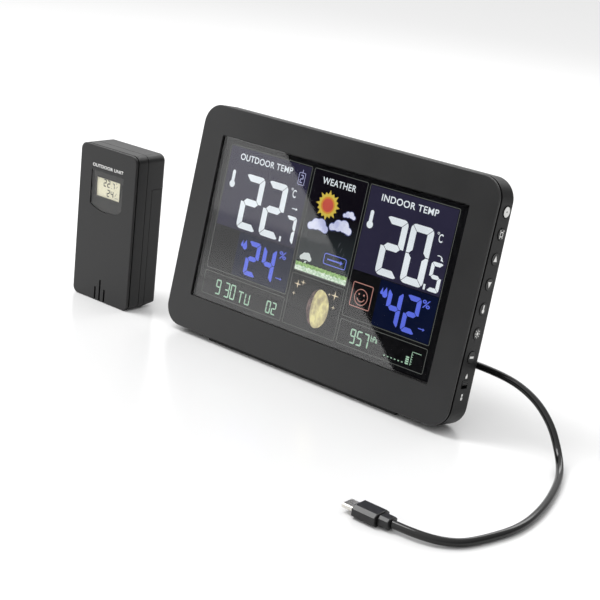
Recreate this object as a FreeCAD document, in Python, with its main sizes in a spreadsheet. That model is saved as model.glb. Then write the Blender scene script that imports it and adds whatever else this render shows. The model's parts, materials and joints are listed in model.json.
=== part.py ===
import FreeCAD, Part

import math
import os
import re
import Sketcher

# Home weather station: a colour-display station that leans back on a fold-out leg, the charging lead
# in its USB output, and its wireless outdoor sensor. Millimetres. The row frame has +X along the
# display's width, -Y towards the reader, +Z up, and its origin under the middle of the base foot.
#
# The station is drawn upright in its own frame: front face on y = 0, depth along +y, height along +z,
# and each of its pieces is then leant back by the same Placement. The sensor is drawn upright too.

SIZES = {
    # station case
    "case_width": 209.0, "case_height": 135.0, "case_corner": 12.0, "case_wall": 2.0,
    "case_depth": 20.0, "case_depth_top": 15.9, "case_rear_edge": 3.0,
    "lean_angle": 9.4, "front_lift": 3.4, "foot_setback": 9.0,
    "bezel_plate": 1.2, "bezel_edge": 0.5, "bezel_web": 2.4, "bezel_skirt": 5.0,
    "seam_width": 1.6, "seam_depth": 1.3, "skirt_gap": 0.15, "skirt_wall": 1.2,
    "window_width": 176.0, "window_height": 97.5, "window_centre": 69.3, "window_corner": 1.0,
    "lens_margin": 3.0, "lens_depth": 1.2, "lens_thick": 1.0,
    # display stack and boards
    "lcd_width": 174.0, "lcd_height": 96.0, "lcd_front": 2.3, "lcd_thick": 2.2,
    "light_thick": 3.0, "frame_width": 1.6, "frame_back": 9.0,
    "board_front": 9.3, "board_thick": 1.6, "board_left": -84.0, "board_right": 60.0,
    "board_low": 20.0, "board_high": 118.0,
    # rear bulge with the batteries, the sockets and the leg
    "bulge_width": 130.0, "bulge_low": 6.0, "bulge_high": 106.0, "bulge_depth": 34.0,
    "bulge_corner": 8.0, "bulge_edge": 2.5,
    "tray_width": 55.0, "tray_low": 68.5, "tray_high": 101.5, "tray_floor": 16.2, "tray_wall": 1.4,
    "door_lap": 1.3, "door_thick": 1.8, "door_gap": 0.25, "door_corner": 1.5,
    "cell_radius": 7.25, "cell_length": 50.5, "cell_pitch": 14.8,
    "contact_sheet": 0.4, "contact_gap": 0.05, "spring_base": 3.4, "spring_tip": 2.2,
    # fold-out leg
    "leg_width": 59.0, "leg_thick": 2.8, "leg_angle": 14.0, "leg_side_gap": 1.0,
    "pivot_depth": 31.4, "pivot_height": 60.0, "barrel_radius": 1.9, "pin_radius": 0.8,
    "pin_clearance": 0.05, "recess_floor": 28.6, "recess_wall": 2.1, "pad_height": 3.0,
    # buttons and slide switch in the right side
    "button_radius": 3.2, "button_gap": 0.3, "button_depth": 9.5, "button_proud": 0.3,
    "button_travel": 0.6, "flange_radius": 3.9, "flange_thick": 0.9,
    "side_board_x": 94.6, "side_board_thick": 1.2,
    "slot_depth": 6.0, "slot_height": 4.6, "slot_centre": 25.5, "knob_height": 2.3,
    "knob_travel": 2.0,
    # sockets in the right side of the bulge
    "port_depth": 26.0, "port_height": 34.0, "port_width": 14.4, "port_thick": 7.0,
    "port_length": 14.0, "port_sheet": 0.4,
    "jack_height": 54.0, "jack_size": 9.0, "jack_length": 13.0, "jack_bore": 2.85, "jack_pin": 1.0,
    # charging lead
    "plug_width": 12.0, "plug_thick": 4.5, "plug_length": 12.0, "plug_sheet": 0.3,
    "grip_width": 15.6, "grip_thick": 8.0, "grip_end": 88.0, "relief_end": 98.0,
    "cable_diameter": 4.0, "lead_end_x": 152.5, "lead_end_y": -117.0, "plug_level": 3.3,
    "tip_neck": 6.0, "tip_grip_end": 133.2, "tip_end": 126.5, "tip_width": 8.3, "tip_thick": 2.5,
    # outdoor sensor
    "sensor_x": -159.2, "sensor_y": -13.0,
    "sensor_width": 50.0, "sensor_height": 98.0, "sensor_depth": 25.0, "sensor_corner": 4.5,
    "sensor_plate": 1.5, "sensor_seam": 0.9, "sensor_groove": 10.0, "sensor_wall": 1.6,
    "sensor_rear_edge": 2.5,
    "sensor_flat": 9.0, "sensor_rise": 3.6, "cover_front": 14.5, "cover_top": 76.6,
    "cover_gap": 0.3, "bay_half": 15.6, "bay_floor": 7.8, "bay_low": 8.5, "bay_high": 64.5,
    "shield_half": 14.2, "shield_top": 82.6, "shield_side": 61.0, "shield_low": 57.6,
    "shield_depth": 0.7, "view_half": 10.7, "view_top": 78.6, "view_low": 66.6,
}

BUTTON_HEIGHTS = {
    "button_light": 118.6, "button_alarm": 106.8, "button_up": 93.6, "button_down": 80.0,
    "button_temperature": 66.8, "button_brightness": 53.4, "button_memory": 40.5,
}

doc = FreeCAD.newDocument("WeatherStation")
sheet = doc.addObject("Spreadsheet::Sheet", "Sizes")
for row, (alias, size) in enumerate(SIZES.items(), start=1):
    sheet.set(f"A{row}", alias)
    sheet.set(f"B{row}", str(size))
    sheet.setAlias(f"B{row}", alias)
doc.recompute()

ALIAS = re.compile(r"\b(" + "|".join(sorted(SIZES, key=len, reverse=True)) + r")\b")
NODES = {}


# ---------------------------------------------------------------- helpers

def formula(value):
    """An expression on the sheet, from text that uses its aliases or from a plain number."""
    return ALIAS.sub(r"Sizes.\1", str(value))


def bind(piece, path, value):
    piece.setExpression(path, formula(value))


def number(value):
    """The present value of an expression on the sheet."""
    return float(sheet.evalExpression(formula(value)))


def minus(high, low):
    return f"({high}) - ({low})"


def node(name, piece):
    """Names a finished sub-part, which is written to a file of that name. A bare primitive already
    has a Placement inside its frame, so it is wrapped to get one of its own."""
    if piece.TypeId in ("Part::Box", "Part::Cylinder", "Part::Cone"):
        piece.Label = name + "_solid"
        piece = group(name, [piece])
    piece.Label = name
    NODES[name] = piece
    return piece


def box(name, x, y, z):
    """A box between the given low and high values on each axis."""
    piece = doc.addObject("Part::Box", name)
    for side, (low, high) in zip(("Length", "Width", "Height"), (x, y, z)):
        bind(piece, side, minus(high, low))
    for axis, (low, high) in zip("xyz", (x, y, z)):
        bind(piece, f"Placement.Base.{axis}", low)
    return piece


def aim(piece, axis, start, centre):
    """Turns a piece of revolution drawn along z to lie along axis, from start, about centre."""
    turn = {"x": FreeCAD.Rotation(FreeCAD.Vector(0, 1, 0), 90),
            "y": FreeCAD.Rotation(FreeCAD.Vector(-1, 0, 0), 90),
            "z": FreeCAD.Rotation()}[axis]
    piece.Placement = FreeCAD.Placement(FreeCAD.Vector(), turn)
    others = [letter for letter in "xyz" if letter != axis]
    bind(piece, f"Placement.Base.{axis}", start)
    for letter, value in zip(others, centre):
        bind(piece, f"Placement.Base.{letter}", value)


def rod(name, axis, radius, span, centre):
    """A cylinder along axis over span = (low, high), about centre on the two other axes."""
    piece = doc.addObject("Part::Cylinder", name)
    bind(piece, "Radius", radius)
    bind(piece, "Height", minus(span[1], span[0]))
    aim(piece, axis, span[0], centre)
    return piece


def taper(name, axis, radii, span, centre):
    piece = doc.addObject("Part::Cone", name)
    bind(piece, "Radius1", radii[0])
    bind(piece, "Radius2", radii[1])
    bind(piece, "Height", minus(span[1], span[0]))
    aim(piece, axis, span[0], centre)
    return piece


def join(name, *pieces):
    whole = doc.addObject("Part::MultiFuse", name)
    whole.Shapes = list(pieces)
    whole.Refine = True
    return whole


def cut(name, base, *tools):
    whole = doc.addObject("Part::Cut", name)
    whole.Base = base
    whole.Tool = tools[0] if len(tools) == 1 else join(name + "_tools", *tools)
    whole.Refine = True
    return whole


def group(name, pieces):
    """Separate solids kept in one sub-part."""
    whole = doc.addObject("Part::Compound", name)
    whole.Links = list(pieces)
    return whole


def stadium(name, x, half_width, half_thick, centre):
    """A bar along x with rounded sides: wide along y, thin along z."""
    cy, cz = centre
    flat = minus(half_width, half_thick)
    core = box(name + "_core", x, (f"{cy} - ({flat})", f"{cy} + ({flat})"),
               (f"{cz} - ({half_thick})", f"{cz} + ({half_thick})"))
    ends = [rod(f"{name}_end{side}", "x", half_thick, x, (f"{cy} + ({sign}) * ({flat})", cz))
            for side, sign in enumerate((-1, 1))]
    return join(name, core, *ends)


def lean(piece):
    """Leans a station piece back about X and sets it down with the base foot over the origin."""
    piece.Placement = FreeCAD.Placement(FreeCAD.Vector(), FreeCAD.Rotation(FreeCAD.Vector(-1, 0, 0), 9))
    bind(piece, "Placement.Rotation.Angle", "lean_angle")
    bind(piece, "Placement.Base.y", "-foot_setback * cos(lean_angle)")
    bind(piece, "Placement.Base.z", "front_lift")
    return piece


def stand_sensor(piece):
    """Sets a sensor piece down in its place beside the station."""
    bind(piece, "Placement.Base.x", "sensor_x")
    bind(piece, "Placement.Base.y", "sensor_y")
    return piece


def new_body(name):
    return doc.addObject("PartDesign::Body", name)


def new_sketch(body, name, role, offset):
    """A sketch on one of the body's own origin planes, moved along the plane's normal by offset."""
    sketch = body.newObject("Sketcher::SketchObject", name)
    plane = next(item for item in body.Origin.OriginFeatures if item.Role == role)
    sketch.AttachmentSupport = [(plane, "")]
    sketch.MapMode = "FlatFace"
    bind(sketch, "AttachmentOffset.Base.z", offset)
    return sketch


def constrain(sketch, kind, *where, value=None):
    """Adds a constraint, bound to the sheet where it has a value."""
    if value is None:
        sketch.addConstraint(Sketcher.Constraint(kind, *where))
        return
    index = sketch.addConstraint(Sketcher.Constraint(kind, *where, number(value)))
    sketch.setExpression(f"Constraints[{index}]", formula(value))


def rounded_outline(sketch, width, height, corner, centre_x, centre_z):
    """A rectangle with four equal round corners, fully constrained."""
    a, b, r = number(width) / 2, number(height) / 2, number(corner)
    cx, cz = number(centre_x), number(centre_z)
    ends = [((r - a, -b), (a - r, -b)), ((a, r - b), (a, b - r)),
            ((a - r, b), (r - a, b)), ((-a, b - r), (-a, r - b))]
    for (x0, z0), (x1, z1) in ends:
        start = FreeCAD.Vector(cx + x0, cz + z0, 0)
        sketch.addGeometry(Part.LineSegment(start, FreeCAD.Vector(cx + x1, cz + z1, 0)), False)
    for step, (sx, sz) in enumerate(((1, -1), (1, 1), (-1, 1), (-1, -1))):
        middle = FreeCAD.Vector(cx + sx * (a - r), cz + sz * (b - r), 0)
        circle = Part.Circle(middle, FreeCAD.Vector(0, 0, 1), r)
        start = math.radians(90 * (step - 1))
        sketch.addGeometry(Part.ArcOfCircle(circle, start, start + math.pi / 2), False)
    for step in range(4):
        constrain(sketch, "Tangent", step, 2, 4 + step, 1)
        constrain(sketch, "Tangent", 4 + step, 2, (step + 1) % 4, 1)
    for step in (0, 2):
        constrain(sketch, "Horizontal", step)
        constrain(sketch, "Vertical", step + 1)
    for step in (5, 6, 7):
        constrain(sketch, "Equal", 4, step)
    constrain(sketch, "Radius", 4, value=corner)
    constrain(sketch, "DistanceX", 3, 1, 1, 1, value=width)
    constrain(sketch, "DistanceY", 0, 1, 2, 1, value=height)
    constrain(sketch, "DistanceX", -1, 1, 1, 1, value=f"({centre_x}) + ({width}) / 2")
    constrain(sketch, "DistanceY", -1, 1, 2, 1, value=f"({centre_z}) + ({height}) / 2")


def polygon_outline(sketch, points):
    """A closed polygon whose corners are expressions, each held by two distances."""
    places = [FreeCAD.Vector(number(u), number(v), 0) for u, v in points]
    count = len(places)
    for step in range(count):
        sketch.addGeometry(Part.LineSegment(places[step], places[(step + 1) % count]), False)
    for step in range(count):
        constrain(sketch, "Coincident", step, 2, (step + 1) % count, 1)
    for step, (u, v) in enumerate(points):
        constrain(sketch, "DistanceX", -1, 1, step, 1, value=u)
        constrain(sketch, "DistanceY", -1, 1, step, 1, value=v)


def slab(body, name, kind, size, centre, y):
    """Adds (Pad) or takes away (Pocket) a round-cornered slab between the two depths in y."""
    width, height, corner = size
    sketch = new_sketch(body, name + "_sketch", "XZ_Plane", f"-({y[0]})")
    rounded_outline(sketch, width, height, corner, *centre)
    feature = body.newObject("PartDesign::" + kind, name)
    feature.Profile = sketch
    bind(feature, "Length", minus(y[1], y[0]))
    feature.Reversed = kind == "Pad"
    sketch.Visibility = False
    return feature


def side_cut(body, name, points, length):
    """Cuts a profile, drawn as (depth, height), right through the body along X."""
    sketch = new_sketch(body, name + "_sketch", "YZ_Plane", 0)
    polygon_outline(sketch, points)
    feature = body.newObject("PartDesign::Pocket", name)
    feature.Profile = sketch
    feature.SideType = "Symmetric"
    bind(feature, "Length", length)
    return feature


def round_edges(body, name, base, radius, chosen):
    """Fillets the edges of base for which chosen(edge) holds."""
    doc.recompute()
    edges = [f"Edge{i}" for i, edge in enumerate(base.Shape.Edges, start=1) if chosen(edge)]
    feature = body.newObject("PartDesign::Fillet", name)
    feature.Base = (base, edges)
    bind(feature, "Radius", radius)
    doc.recompute()
    return feature


def rounded_slab(name, size, centre, y):
    """A body that is one round-cornered slab."""
    body = new_body(name)
    slab(body, name + "_pad", "Pad", size, centre, y)
    return body


# ---------------------------------------------------------------- station case

def rear_depth(height):
    """Depth of the case's sloping rear face at a height."""
    return f"(case_depth - (case_depth - case_depth_top) * ({height}) / case_height)"


def on_rear_face(edge, inset=0.0):
    """True for the edges of the sloping rear face of the thin case."""
    return all(abs(v.Y - number(rear_depth(v.Z)) + inset) < 0.05 for v in edge.Vertexes)


def case_outline(inset):
    """Width, height and corner radius of the case's outline, moved inwards by inset."""
    return (f"case_width - 2 * ({inset})", f"case_height - 2 * ({inset})", f"case_corner - ({inset})")


def case_solid(name, inset):
    """The rear housing's outer form, or its hollow when inset is the wall's thickness."""
    body = new_body(name)
    front = "bezel_plate + seam_width"
    slab(body, name + "_thin", "Pad", case_outline(inset), (0, "case_height / 2"),
         (front, "case_depth + 1"))
    low, high = "-1", "case_height + 1"
    slope = side_cut(body, name + "_slope", [
        (f"{rear_depth(low)} - ({inset})", low), ("case_depth + 3", low),
        ("case_depth + 3", high), (f"{rear_depth(high)} - ({inset})", high)], "case_width + 10")
    doc.recompute()
    if number(inset) == 0:
        round_edges(body, name + "_edge", slope, "case_rear_edge", on_rear_face)
    bulge = (f"bulge_width - 2 * ({inset})", f"bulge_high - bulge_low - 2 * ({inset})",
             f"bulge_corner - ({inset})")
    back = f"bulge_depth - ({inset})"
    start = f"bezel_skirt + 4 + ({inset})"
    raised = slab(body, name + "_bulge", "Pad", bulge, (0, "(bulge_low + bulge_high) / 2"), (start, back))
    if number(inset) == 0:
        rim = number(back)
        round_edges(body, name + "_bulge_edge", raised, "bulge_edge",
                    lambda edge: all(abs(v.Y - rim) < 0.01 for v in edge.Vertexes))
    return body


SCREW_PLACES = [(x, z) for x in (-88, 0, 88) for z in (8, 127)]
BOARD_SCREW_PLACES = [(x, z) for x in (-80, 56) for z in (24, 114)]
SENSOR_SCREW_PLACES = [(x, z) for z in (6.5, 91.5) for x in (-20.5, 20.5)]


def rear_housing():
    shell = cut("shell", case_solid("case_outer", "0"), case_solid("case_inner", "case_wall"))
    added = []
    for index, (x, z) in enumerate(SCREW_PLACES):
        added.append(rod(f"post{index}", "y", 3.4, (7.1, f"{rear_depth(z)} - 0.3"), (x, z)))
    tray_x = "tray_width / 2 + tray_wall"
    added.append(box("tray_block", (f"-({tray_x})", tray_x), ("tray_floor - tray_wall", "bulge_depth - 1"),
                     ("tray_low - tray_wall", "tray_high + tray_wall")))
    recess_x = "leg_width / 2 + leg_side_gap"
    added.append(box("recess_block", (f"-({recess_x}) - 2.5", f"{recess_x} + 2.5"),
                     ("recess_floor - recess_wall", "bulge_depth - 1"), ("bulge_low + 0.8", 67)))
    solid = join("shell_ribbed", shell, *added)
    taken = []
    for index, (x, z) in enumerate(SCREW_PLACES):
        taken.append(rod(f"counterbore{index}", "y", 2.6, (9, "case_depth + 1"), (x, z)))
        taken.append(rod(f"clearance{index}", "y", 1.2, (6, 10), (x, z)))
    taken.append(box("tray_space", ("-tray_width / 2", "tray_width / 2"),
                     ("tray_floor", "bulge_depth + 1"), ("tray_low", "tray_high")))
    door_x = "tray_width / 2 + door_lap"
    door_y = ("bulge_depth - door_thick - 0.05", "bulge_depth + 1")
    taken.append(box("door_step", (f"-({door_x})", door_x), door_y,
                     ("tray_low - door_lap", "tray_high + door_lap")))
    taken.append(box("finger_notch", (-6, 6), ("bulge_depth - 1.6", "bulge_depth + 1"),
                     ("tray_high + 0.5", "tray_high + 3.2")))
    taken.append(box("leg_recess", (f"-({recess_x})", recess_x), ("recess_floor", "bulge_depth + 1"),
                     (0, "pivot_height + 4.5")))
    taken.append(rod("pin_hole", "x", "pin_radius", (f"-({recess_x}) - 2", f"{recess_x} + 2"),
                     ("pivot_depth", "pivot_height")))
    wall_x = ("bulge_width / 2 - 3", "bulge_width / 2 + 1")
    taken.append(box("port_window", wall_x, ("port_depth - port_thick / 2", "port_depth + port_thick / 2"),
                     ("port_height - port_width / 2", "port_height + port_width / 2")))
    taken.append(rod("jack_window", "x", "jack_bore + 1", wall_x, ("port_depth", "jack_height")))
    for name, height in BUTTON_HEIGHTS.items():
        taken.append(rod(name + "_hole", "x", "button_radius + button_gap",
                         ("case_width / 2 - 4", "case_width / 2 + 1"), ("button_depth", height)))
    taken.append(box("switch_slot", ("case_width / 2 - 4", "case_width / 2 + 1"),
                     ("button_depth - slot_depth / 2", "button_depth + slot_depth / 2"),
                     ("slot_centre - slot_height / 2", "slot_centre + slot_height / 2")))
    for step in range(6):
        left = -93 + 4 * step
        taken.append(box(f"vent{step}", (left, left + 1.4), (12, "case_depth + 1"), (30, 46)))
        taken.append(box(f"buzzer_vent{step}", (70 + 3 * step, 71.2 + 3 * step),
                         (12, "case_depth + 1"), (92, 102)))
    taken.append(box("foot_groove", (-70.2, 70.2), ("foot_setback - 4.6", "foot_setback + 4.6"), (-1, 0.6)))
    return lean(node("rear_housing", cut("rear_housing", solid, *taken)))


def front_bezel():
    body = new_body("bezel_form")
    centre = (0, "case_height / 2")
    plate = slab(body, "bezel_face", "Pad", case_outline("0"), centre, (0, "bezel_plate"))
    round_edges(body, "bezel_round", plate, "bezel_edge",
                lambda edge: all(abs(v.Y) < 0.01 for v in edge.Vertexes))
    steps = [("seam_depth", "bezel_plate", "bezel_plate + seam_width"),
             ("case_wall + skirt_gap", "bezel_plate + seam_width", "bezel_skirt")]
    for index, (inset, low, high) in enumerate(steps):
        slab(body, f"bezel_step{index}", "Pad", case_outline(inset), centre, (low, high))
    slab(body, "bezel_hollow", "Pocket", case_outline("case_wall + skirt_gap + skirt_wall"), centre,
         ("bezel_web", "bezel_skirt + 1"))
    seat = ("window_width + 2 * lens_margin", "window_height + 2 * lens_margin", "window_corner + 1")
    slab(body, "lens_seat", "Pocket", seat, (0, "window_centre"), ("lens_depth", "bezel_skirt"))
    window = ("window_width", "window_height", "window_corner")
    slab(body, "window", "Pocket", window, (0, "window_centre"), (-1, "bezel_skirt"))
    posts = []
    bores = []
    for index, (x, z) in enumerate(SCREW_PLACES):
        posts.append(rod(f"bezel_post{index}", "y", 2.6, ("bezel_web - 0.6", 7), (x, z)))
        bores.append(rod(f"bezel_bore{index}", "y", 1.0, (3.4, 8), (x, z)))
    return lean(node("front_bezel", cut("front_bezel", join("bezel_posted", body, *posts), *bores)))


def display_stack():
    centre = (0, "window_centre")
    lens = ("window_width + 2 * lens_margin - 0.3", "window_height + 2 * lens_margin - 0.3",
            "window_corner + 1")
    lean(node("display_lens", rounded_slab("display_lens", lens, centre,
                                           ("lens_depth", "lens_depth + lens_thick"))))
    half, low, high = "lcd_width / 2", "window_centre - lcd_height / 2", "window_centre + lcd_height / 2"
    light_front = "lcd_front + lcd_thick + 0.1"
    light_back = f"{light_front} + light_thick"
    lean(node("lcd_panel", box("lcd_panel", (f"-{half}", half), ("lcd_front", "lcd_front + lcd_thick"),
                               (low, high))))
    lean(node("backlight_panel", box("backlight_panel", (f"-{half}", half), (light_front, light_back),
                                     (low, high))))
    ring = box("ring", (f"-{half} - frame_width", f"{half} + frame_width"), ("lcd_front", "frame_back"),
               (f"{low} - frame_width", f"{high} + frame_width"))
    room = box("ring_room", (f"-{half} - 0.1", f"{half} + 0.1"), (0, light_back),
               (f"{low} - 0.1", f"{high} + 0.1"))
    back = box("ring_back", ("8 - lcd_width / 2", "lcd_width / 2 - 8"), (0, 12),
               (f"{low} + 8", f"{high} - 8"))
    lean(node("lcd_frame", cut("lcd_frame", ring, room, back)))
    ribbon = box("flex_cable", (-20, 20), ("frame_back + 0.05", "frame_back + 0.25"),
                 (f"{low} - 2", "board_low + 12"))
    lean(node("flex_cable", ribbon))


def boards():
    board_back = "board_front + board_thick"
    board = box("main_board_sheet", ("board_left", "board_right"), ("board_front", board_back),
                ("board_low", "board_high"))
    holes = [rod(f"board_hole{i}", "y", 1.2, (8, 12), (x, z))
             for i, (x, z) in enumerate(BOARD_SCREW_PLACES)]
    lean(node("main_board", cut("main_board", board, *holes)))
    screws = []
    for index, (x, z) in enumerate(BOARD_SCREW_PLACES):
        shank = rod(f"board_shank{index}", "y", 1.0, ("frame_back", board_back), (x, z))
        head = rod(f"board_head{index}", "y", 1.9, (board_back, f"{board_back} + 1.2"), (x, z))
        screws.append(join(f"board_screw{index}", shank, head))
    lean(node("board_screws", group("board_screws", screws)))
    chips = [((-40, -26), 1.4, (30, 44)), ((-10, -2), 1.2, (40, 46)), ((30, 42), 2.4, (70, 76)),
             ((-70, -62), 2.2, (60, 64)), ((-66, -50), 1.6, (88, 104)), ((40, 50), 2.0, (26, 36))]
    pieces = [box(f"chip{i}", x, (board_back, f"{board_back} + {rise}"), z)
              for i, (x, rise, z) in enumerate(chips)]
    lean(node("board_components", group("board_components", pieces)))
    edge = ("board_front + board_thick / 2", "board_high + 0.5")
    lean(node("radio_antenna", rod("radio_antenna", "x", 0.5, (-60, 20), edge)))
    lean(node("climate_sensor", box("climate_sensor", (-82, -74), (board_back, f"{board_back} + 1.5"),
                                    (34, 42))))
    lean(node("buzzer", rod("buzzer", "y", 6.0, (11.8, 14.8), (77, 97))))


def side_controls():
    wall = "case_width / 2 - case_wall"
    board_face = "side_board_x + side_board_thick"
    lean(node("side_board", box("side_board", ("side_board_x", board_face), (5.6, 13.4), (18, 125))))
    switches = []
    plunger_end = f"{wall} - 0.1 - flange_thick - 1.5"
    for name, height in BUTTON_HEIGHTS.items():
        base = box(name + "_base", (board_face, f"{board_face} + 3.2"),
                   ("button_depth - 3", "button_depth + 3"), (f"{height} - 3", f"{height} + 3"))
        plunger = rod(name + "_plunger", "x", 1.5, (f"{board_face} + 3.1", plunger_end),
                      ("button_depth", height))
        switches.append(join(name + "_switch", base, plunger))
        centre = ("button_depth", height)
        cap = rod(name + "_cap", "x", "button_radius", (f"{wall} - 0.5", "case_width / 2 + button_proud"),
                  centre)
        flange = rod(name + "_flange", "x", "flange_radius",
                     (f"{wall} - 0.1 - flange_thick", f"{wall} - 0.1"), centre)
        stem = rod(name + "_stem", "x", 1.2, (f"{plunger_end} + button_travel + 0.1", f"{wall} - 0.5"),
                   centre)
        lean(node(name, join(name, cap, flange, stem)))
    lean(node("tactile_switches", group("tactile_switches", switches)))
    knob_centre = "slot_centre + knob_travel / 2"
    knob = box("knob_tab", (f"{wall} - 0.5", "case_width / 2 + 0.2"),
               ("button_depth - slot_depth / 2 + 0.4", "button_depth + slot_depth / 2 - 0.4"),
               (f"{knob_centre} - knob_height / 2", f"{knob_centre} + knob_height / 2"))
    plate = box("knob_plate", (f"{wall} - 1.0", f"{wall} - 0.1"), (5.7, 13.3),
                (f"{knob_centre} - 4.6", f"{knob_centre} + 4.6"))
    foot = box("knob_foot", (99.4, f"{wall} - 0.9"), ("button_depth - 1", "button_depth + 1"),
               (f"{knob_centre} - 1", f"{knob_centre} + 1"))
    grooves = [box(f"knob_groove{i}", ("case_width / 2 - 0.2", "case_width / 2 + 1"), (5, 14),
                   (f"{knob_centre} + {offset}", f"{knob_centre} + {offset} + 0.35"))
               for i, offset in enumerate((-0.7, 0.35))]
    lean(node("slide_switch_knob", cut("slide_switch_knob", join("knob_form", knob, plate, foot),
                                       *grooves)))
    base = box("slide_base", (board_face, 99.2), (7.0, 12.0), (20.5, 30.5))
    slot = box("slide_base_slot", (97.6, 100), (8.2, 10.8), (22.5, 28.5))
    lean(node("slide_switch_housing", cut("slide_switch_housing", base, slot)))


def power_parts():
    cells = []
    contacts = []
    middle = "(tray_low + tray_high) / 2"
    depth = "tray_floor + 0.3 + cell_radius"
    for index, (side, turn) in enumerate(((-1, 1), (1, -1))):
        height = f"{middle} + ({side}) * cell_pitch / 2"
        case = rod(f"cell{index}", "x", "cell_radius", ("1 - cell_length / 2", "cell_length / 2 - 1"),
                   (depth, height))
        nub_span = ("cell_length / 2 - 1", "cell_length / 2")
        if turn < 0:
            nub_span = ("-cell_length / 2", "1 - cell_length / 2")
        nub = rod(f"cell_nub{index}", "x", 2.7, nub_span, (depth, height))
        cells.append(join(f"battery{index}", case, nub))
        for end, wall in enumerate(("-tray_width / 2", "tray_width / 2 - contact_sheet")):
            plate = box(f"contact_plate{index}_{end}", (wall, f"{wall} + contact_sheet"),
                        (f"{depth} - 4", f"{depth} + 4"), (f"{height} - 5", f"{height} + 5"))
            tip = "cell_length / 2 + contact_gap"
            span = ("0.2 - tray_width / 2", f"-({tip})") if end == 0 else (tip, "tray_width / 2 - 0.2")
            radii = ("spring_base", "spring_tip") if end == 0 else ("spring_tip", "spring_base")
            spring = taper(f"contact_spring{index}_{end}", "x", radii, span, (depth, height))
            contacts.append(join(f"contact{index}_{end}", plate, spring))
    lean(node("batteries", group("batteries", cells)))
    lean(node("battery_contacts", group("battery_contacts", contacts)))
    gap = "door_lap - door_gap"
    size = (f"tray_width + 2 * ({gap})", f"tray_high - tray_low + 2 * ({gap})", "door_corner")
    body = new_body("door_form")
    slab(body, "door_plate", "Pad", size, (0, middle), ("bulge_depth - door_thick", "bulge_depth"))
    for step in range(4):
        slab(body, f"door_grip{step}", "Pocket", (16, 0.8, 0.3), (0, f"tray_high - 2.4 - 1.7 * {step}"),
             ("bulge_depth - 0.5", "bulge_depth + 1"))
    lip = box("door_lip", (-20, 20), ("bulge_depth - door_thick - 1.0", "bulge_depth - door_thick + 0.1"),
              ("tray_low + 0.4", "tray_low + 1.6"))
    lean(node("battery_cover", join("battery_cover", body, lip)))


def sockets():
    inner = "bulge_width / 2 - 0.4"
    x = (f"{inner} - port_length", inner)
    cy, cz = "port_depth", "port_height"
    outer = box("port_outer", x, (f"{cy} - port_thick / 2", f"{cy} + port_thick / 2"),
                (f"{cz} - port_width / 2", f"{cz} + port_width / 2"))
    hollow_y = "port_thick / 2 - port_sheet"
    hollow_z = "port_width / 2 - port_sheet"
    hollow = box("port_hollow", (f"{inner} - port_length + 1", f"{inner} + 1"),
                 (f"{cy} - ({hollow_y})", f"{cy} + ({hollow_y})"),
                 (f"{cz} - ({hollow_z})", f"{cz} + ({hollow_z})"))
    lean(node("usb_port_shell", cut("usb_port_shell", outer, hollow)))
    tongue = box("usb_port_tongue", (f"{inner} - port_length + 1", f"{inner} - 3"),
                 (f"{cy} - 1.75", f"{cy} - 0.1"), (f"{cz} - 5.3", f"{cz} + 5.3"))
    lean(node("usb_port_tongue", tongue))
    block = box("jack_block", (f"{inner} - jack_length", "bulge_width / 2 - case_wall"),
                (f"{cy} - jack_size / 2", f"{cy} + jack_size / 2"),
                ("jack_height - jack_size / 2", "jack_height + jack_size / 2"))
    collar = rod("jack_collar", "x", "jack_bore + 1", ("bulge_width / 2 - case_wall", inner),
                 (cy, "jack_height"))
    bore = rod("jack_bore_space", "x", "jack_bore", (f"{inner} - jack_length + 2", f"{inner} + 1"),
               (cy, "jack_height"))
    pin = rod("jack_pin_rod", "x", "jack_pin", (f"{inner} - jack_length + 1", f"{inner} - 1"),
              (cy, "jack_height"))
    body = cut("jack_body", join("jack_form", block, collar), bore)
    lean(node("dc_jack", join("dc_jack", body, pin)))


def screws_and_foot():
    screws = []
    for index, (x, z) in enumerate(SCREW_PLACES):
        shank = rod(f"case_shank{index}", "y", 1.0, (3.4, 9.1), (x, z))
        head = rod(f"case_head{index}", "y", 2.3, (9, 10.6), (x, z))
        cross = [box(f"case_slot{index}_{turn}", (x - across, x + across), (9.9, 11), (z - up, z + up))
                 for turn, (across, up) in enumerate(((1.3, 0.3), (0.3, 1.3)))]
        screws.append(cut(f"case_screw{index}", join(f"case_screw_form{index}", shank, head), *cross))
    lean(node("housing_screws", group("housing_screws", screws)))
    strip = group("foot_strip", [box("foot_block", (-70, 70), ("foot_setback - 4.4", "foot_setback + 4.4"),
                                     (-4, 0.6))])
    floor = box("foot_floor", (-100, 100), (-50, 50), (-20, 0))
    node("base_foot", cut("base_foot", lean(strip), floor))


# ---------------------------------------------------------------- fold-out leg

PIVOT_Y = ("pivot_depth * cos(lean_angle) + pivot_height * sin(lean_angle)"
           " - foot_setback * cos(lean_angle)")
PIVOT_Z = "front_lift - pivot_depth * sin(lean_angle) + pivot_height * cos(lean_angle)"
LEG_LENGTH = f"(({PIVOT_Z}) / cos(leg_angle))"


def hang(piece):
    """Places a leg piece, drawn hanging from the pivot at the origin, in its open position."""
    piece.Placement = FreeCAD.Placement(FreeCAD.Vector(), FreeCAD.Rotation(FreeCAD.Vector(1, 0, 0), 9))
    bind(piece, "Placement.Rotation.Angle", "leg_angle")
    bind(piece, "Placement.Base.y", PIVOT_Y)
    bind(piece, "Placement.Base.z", PIVOT_Z)
    return piece


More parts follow.
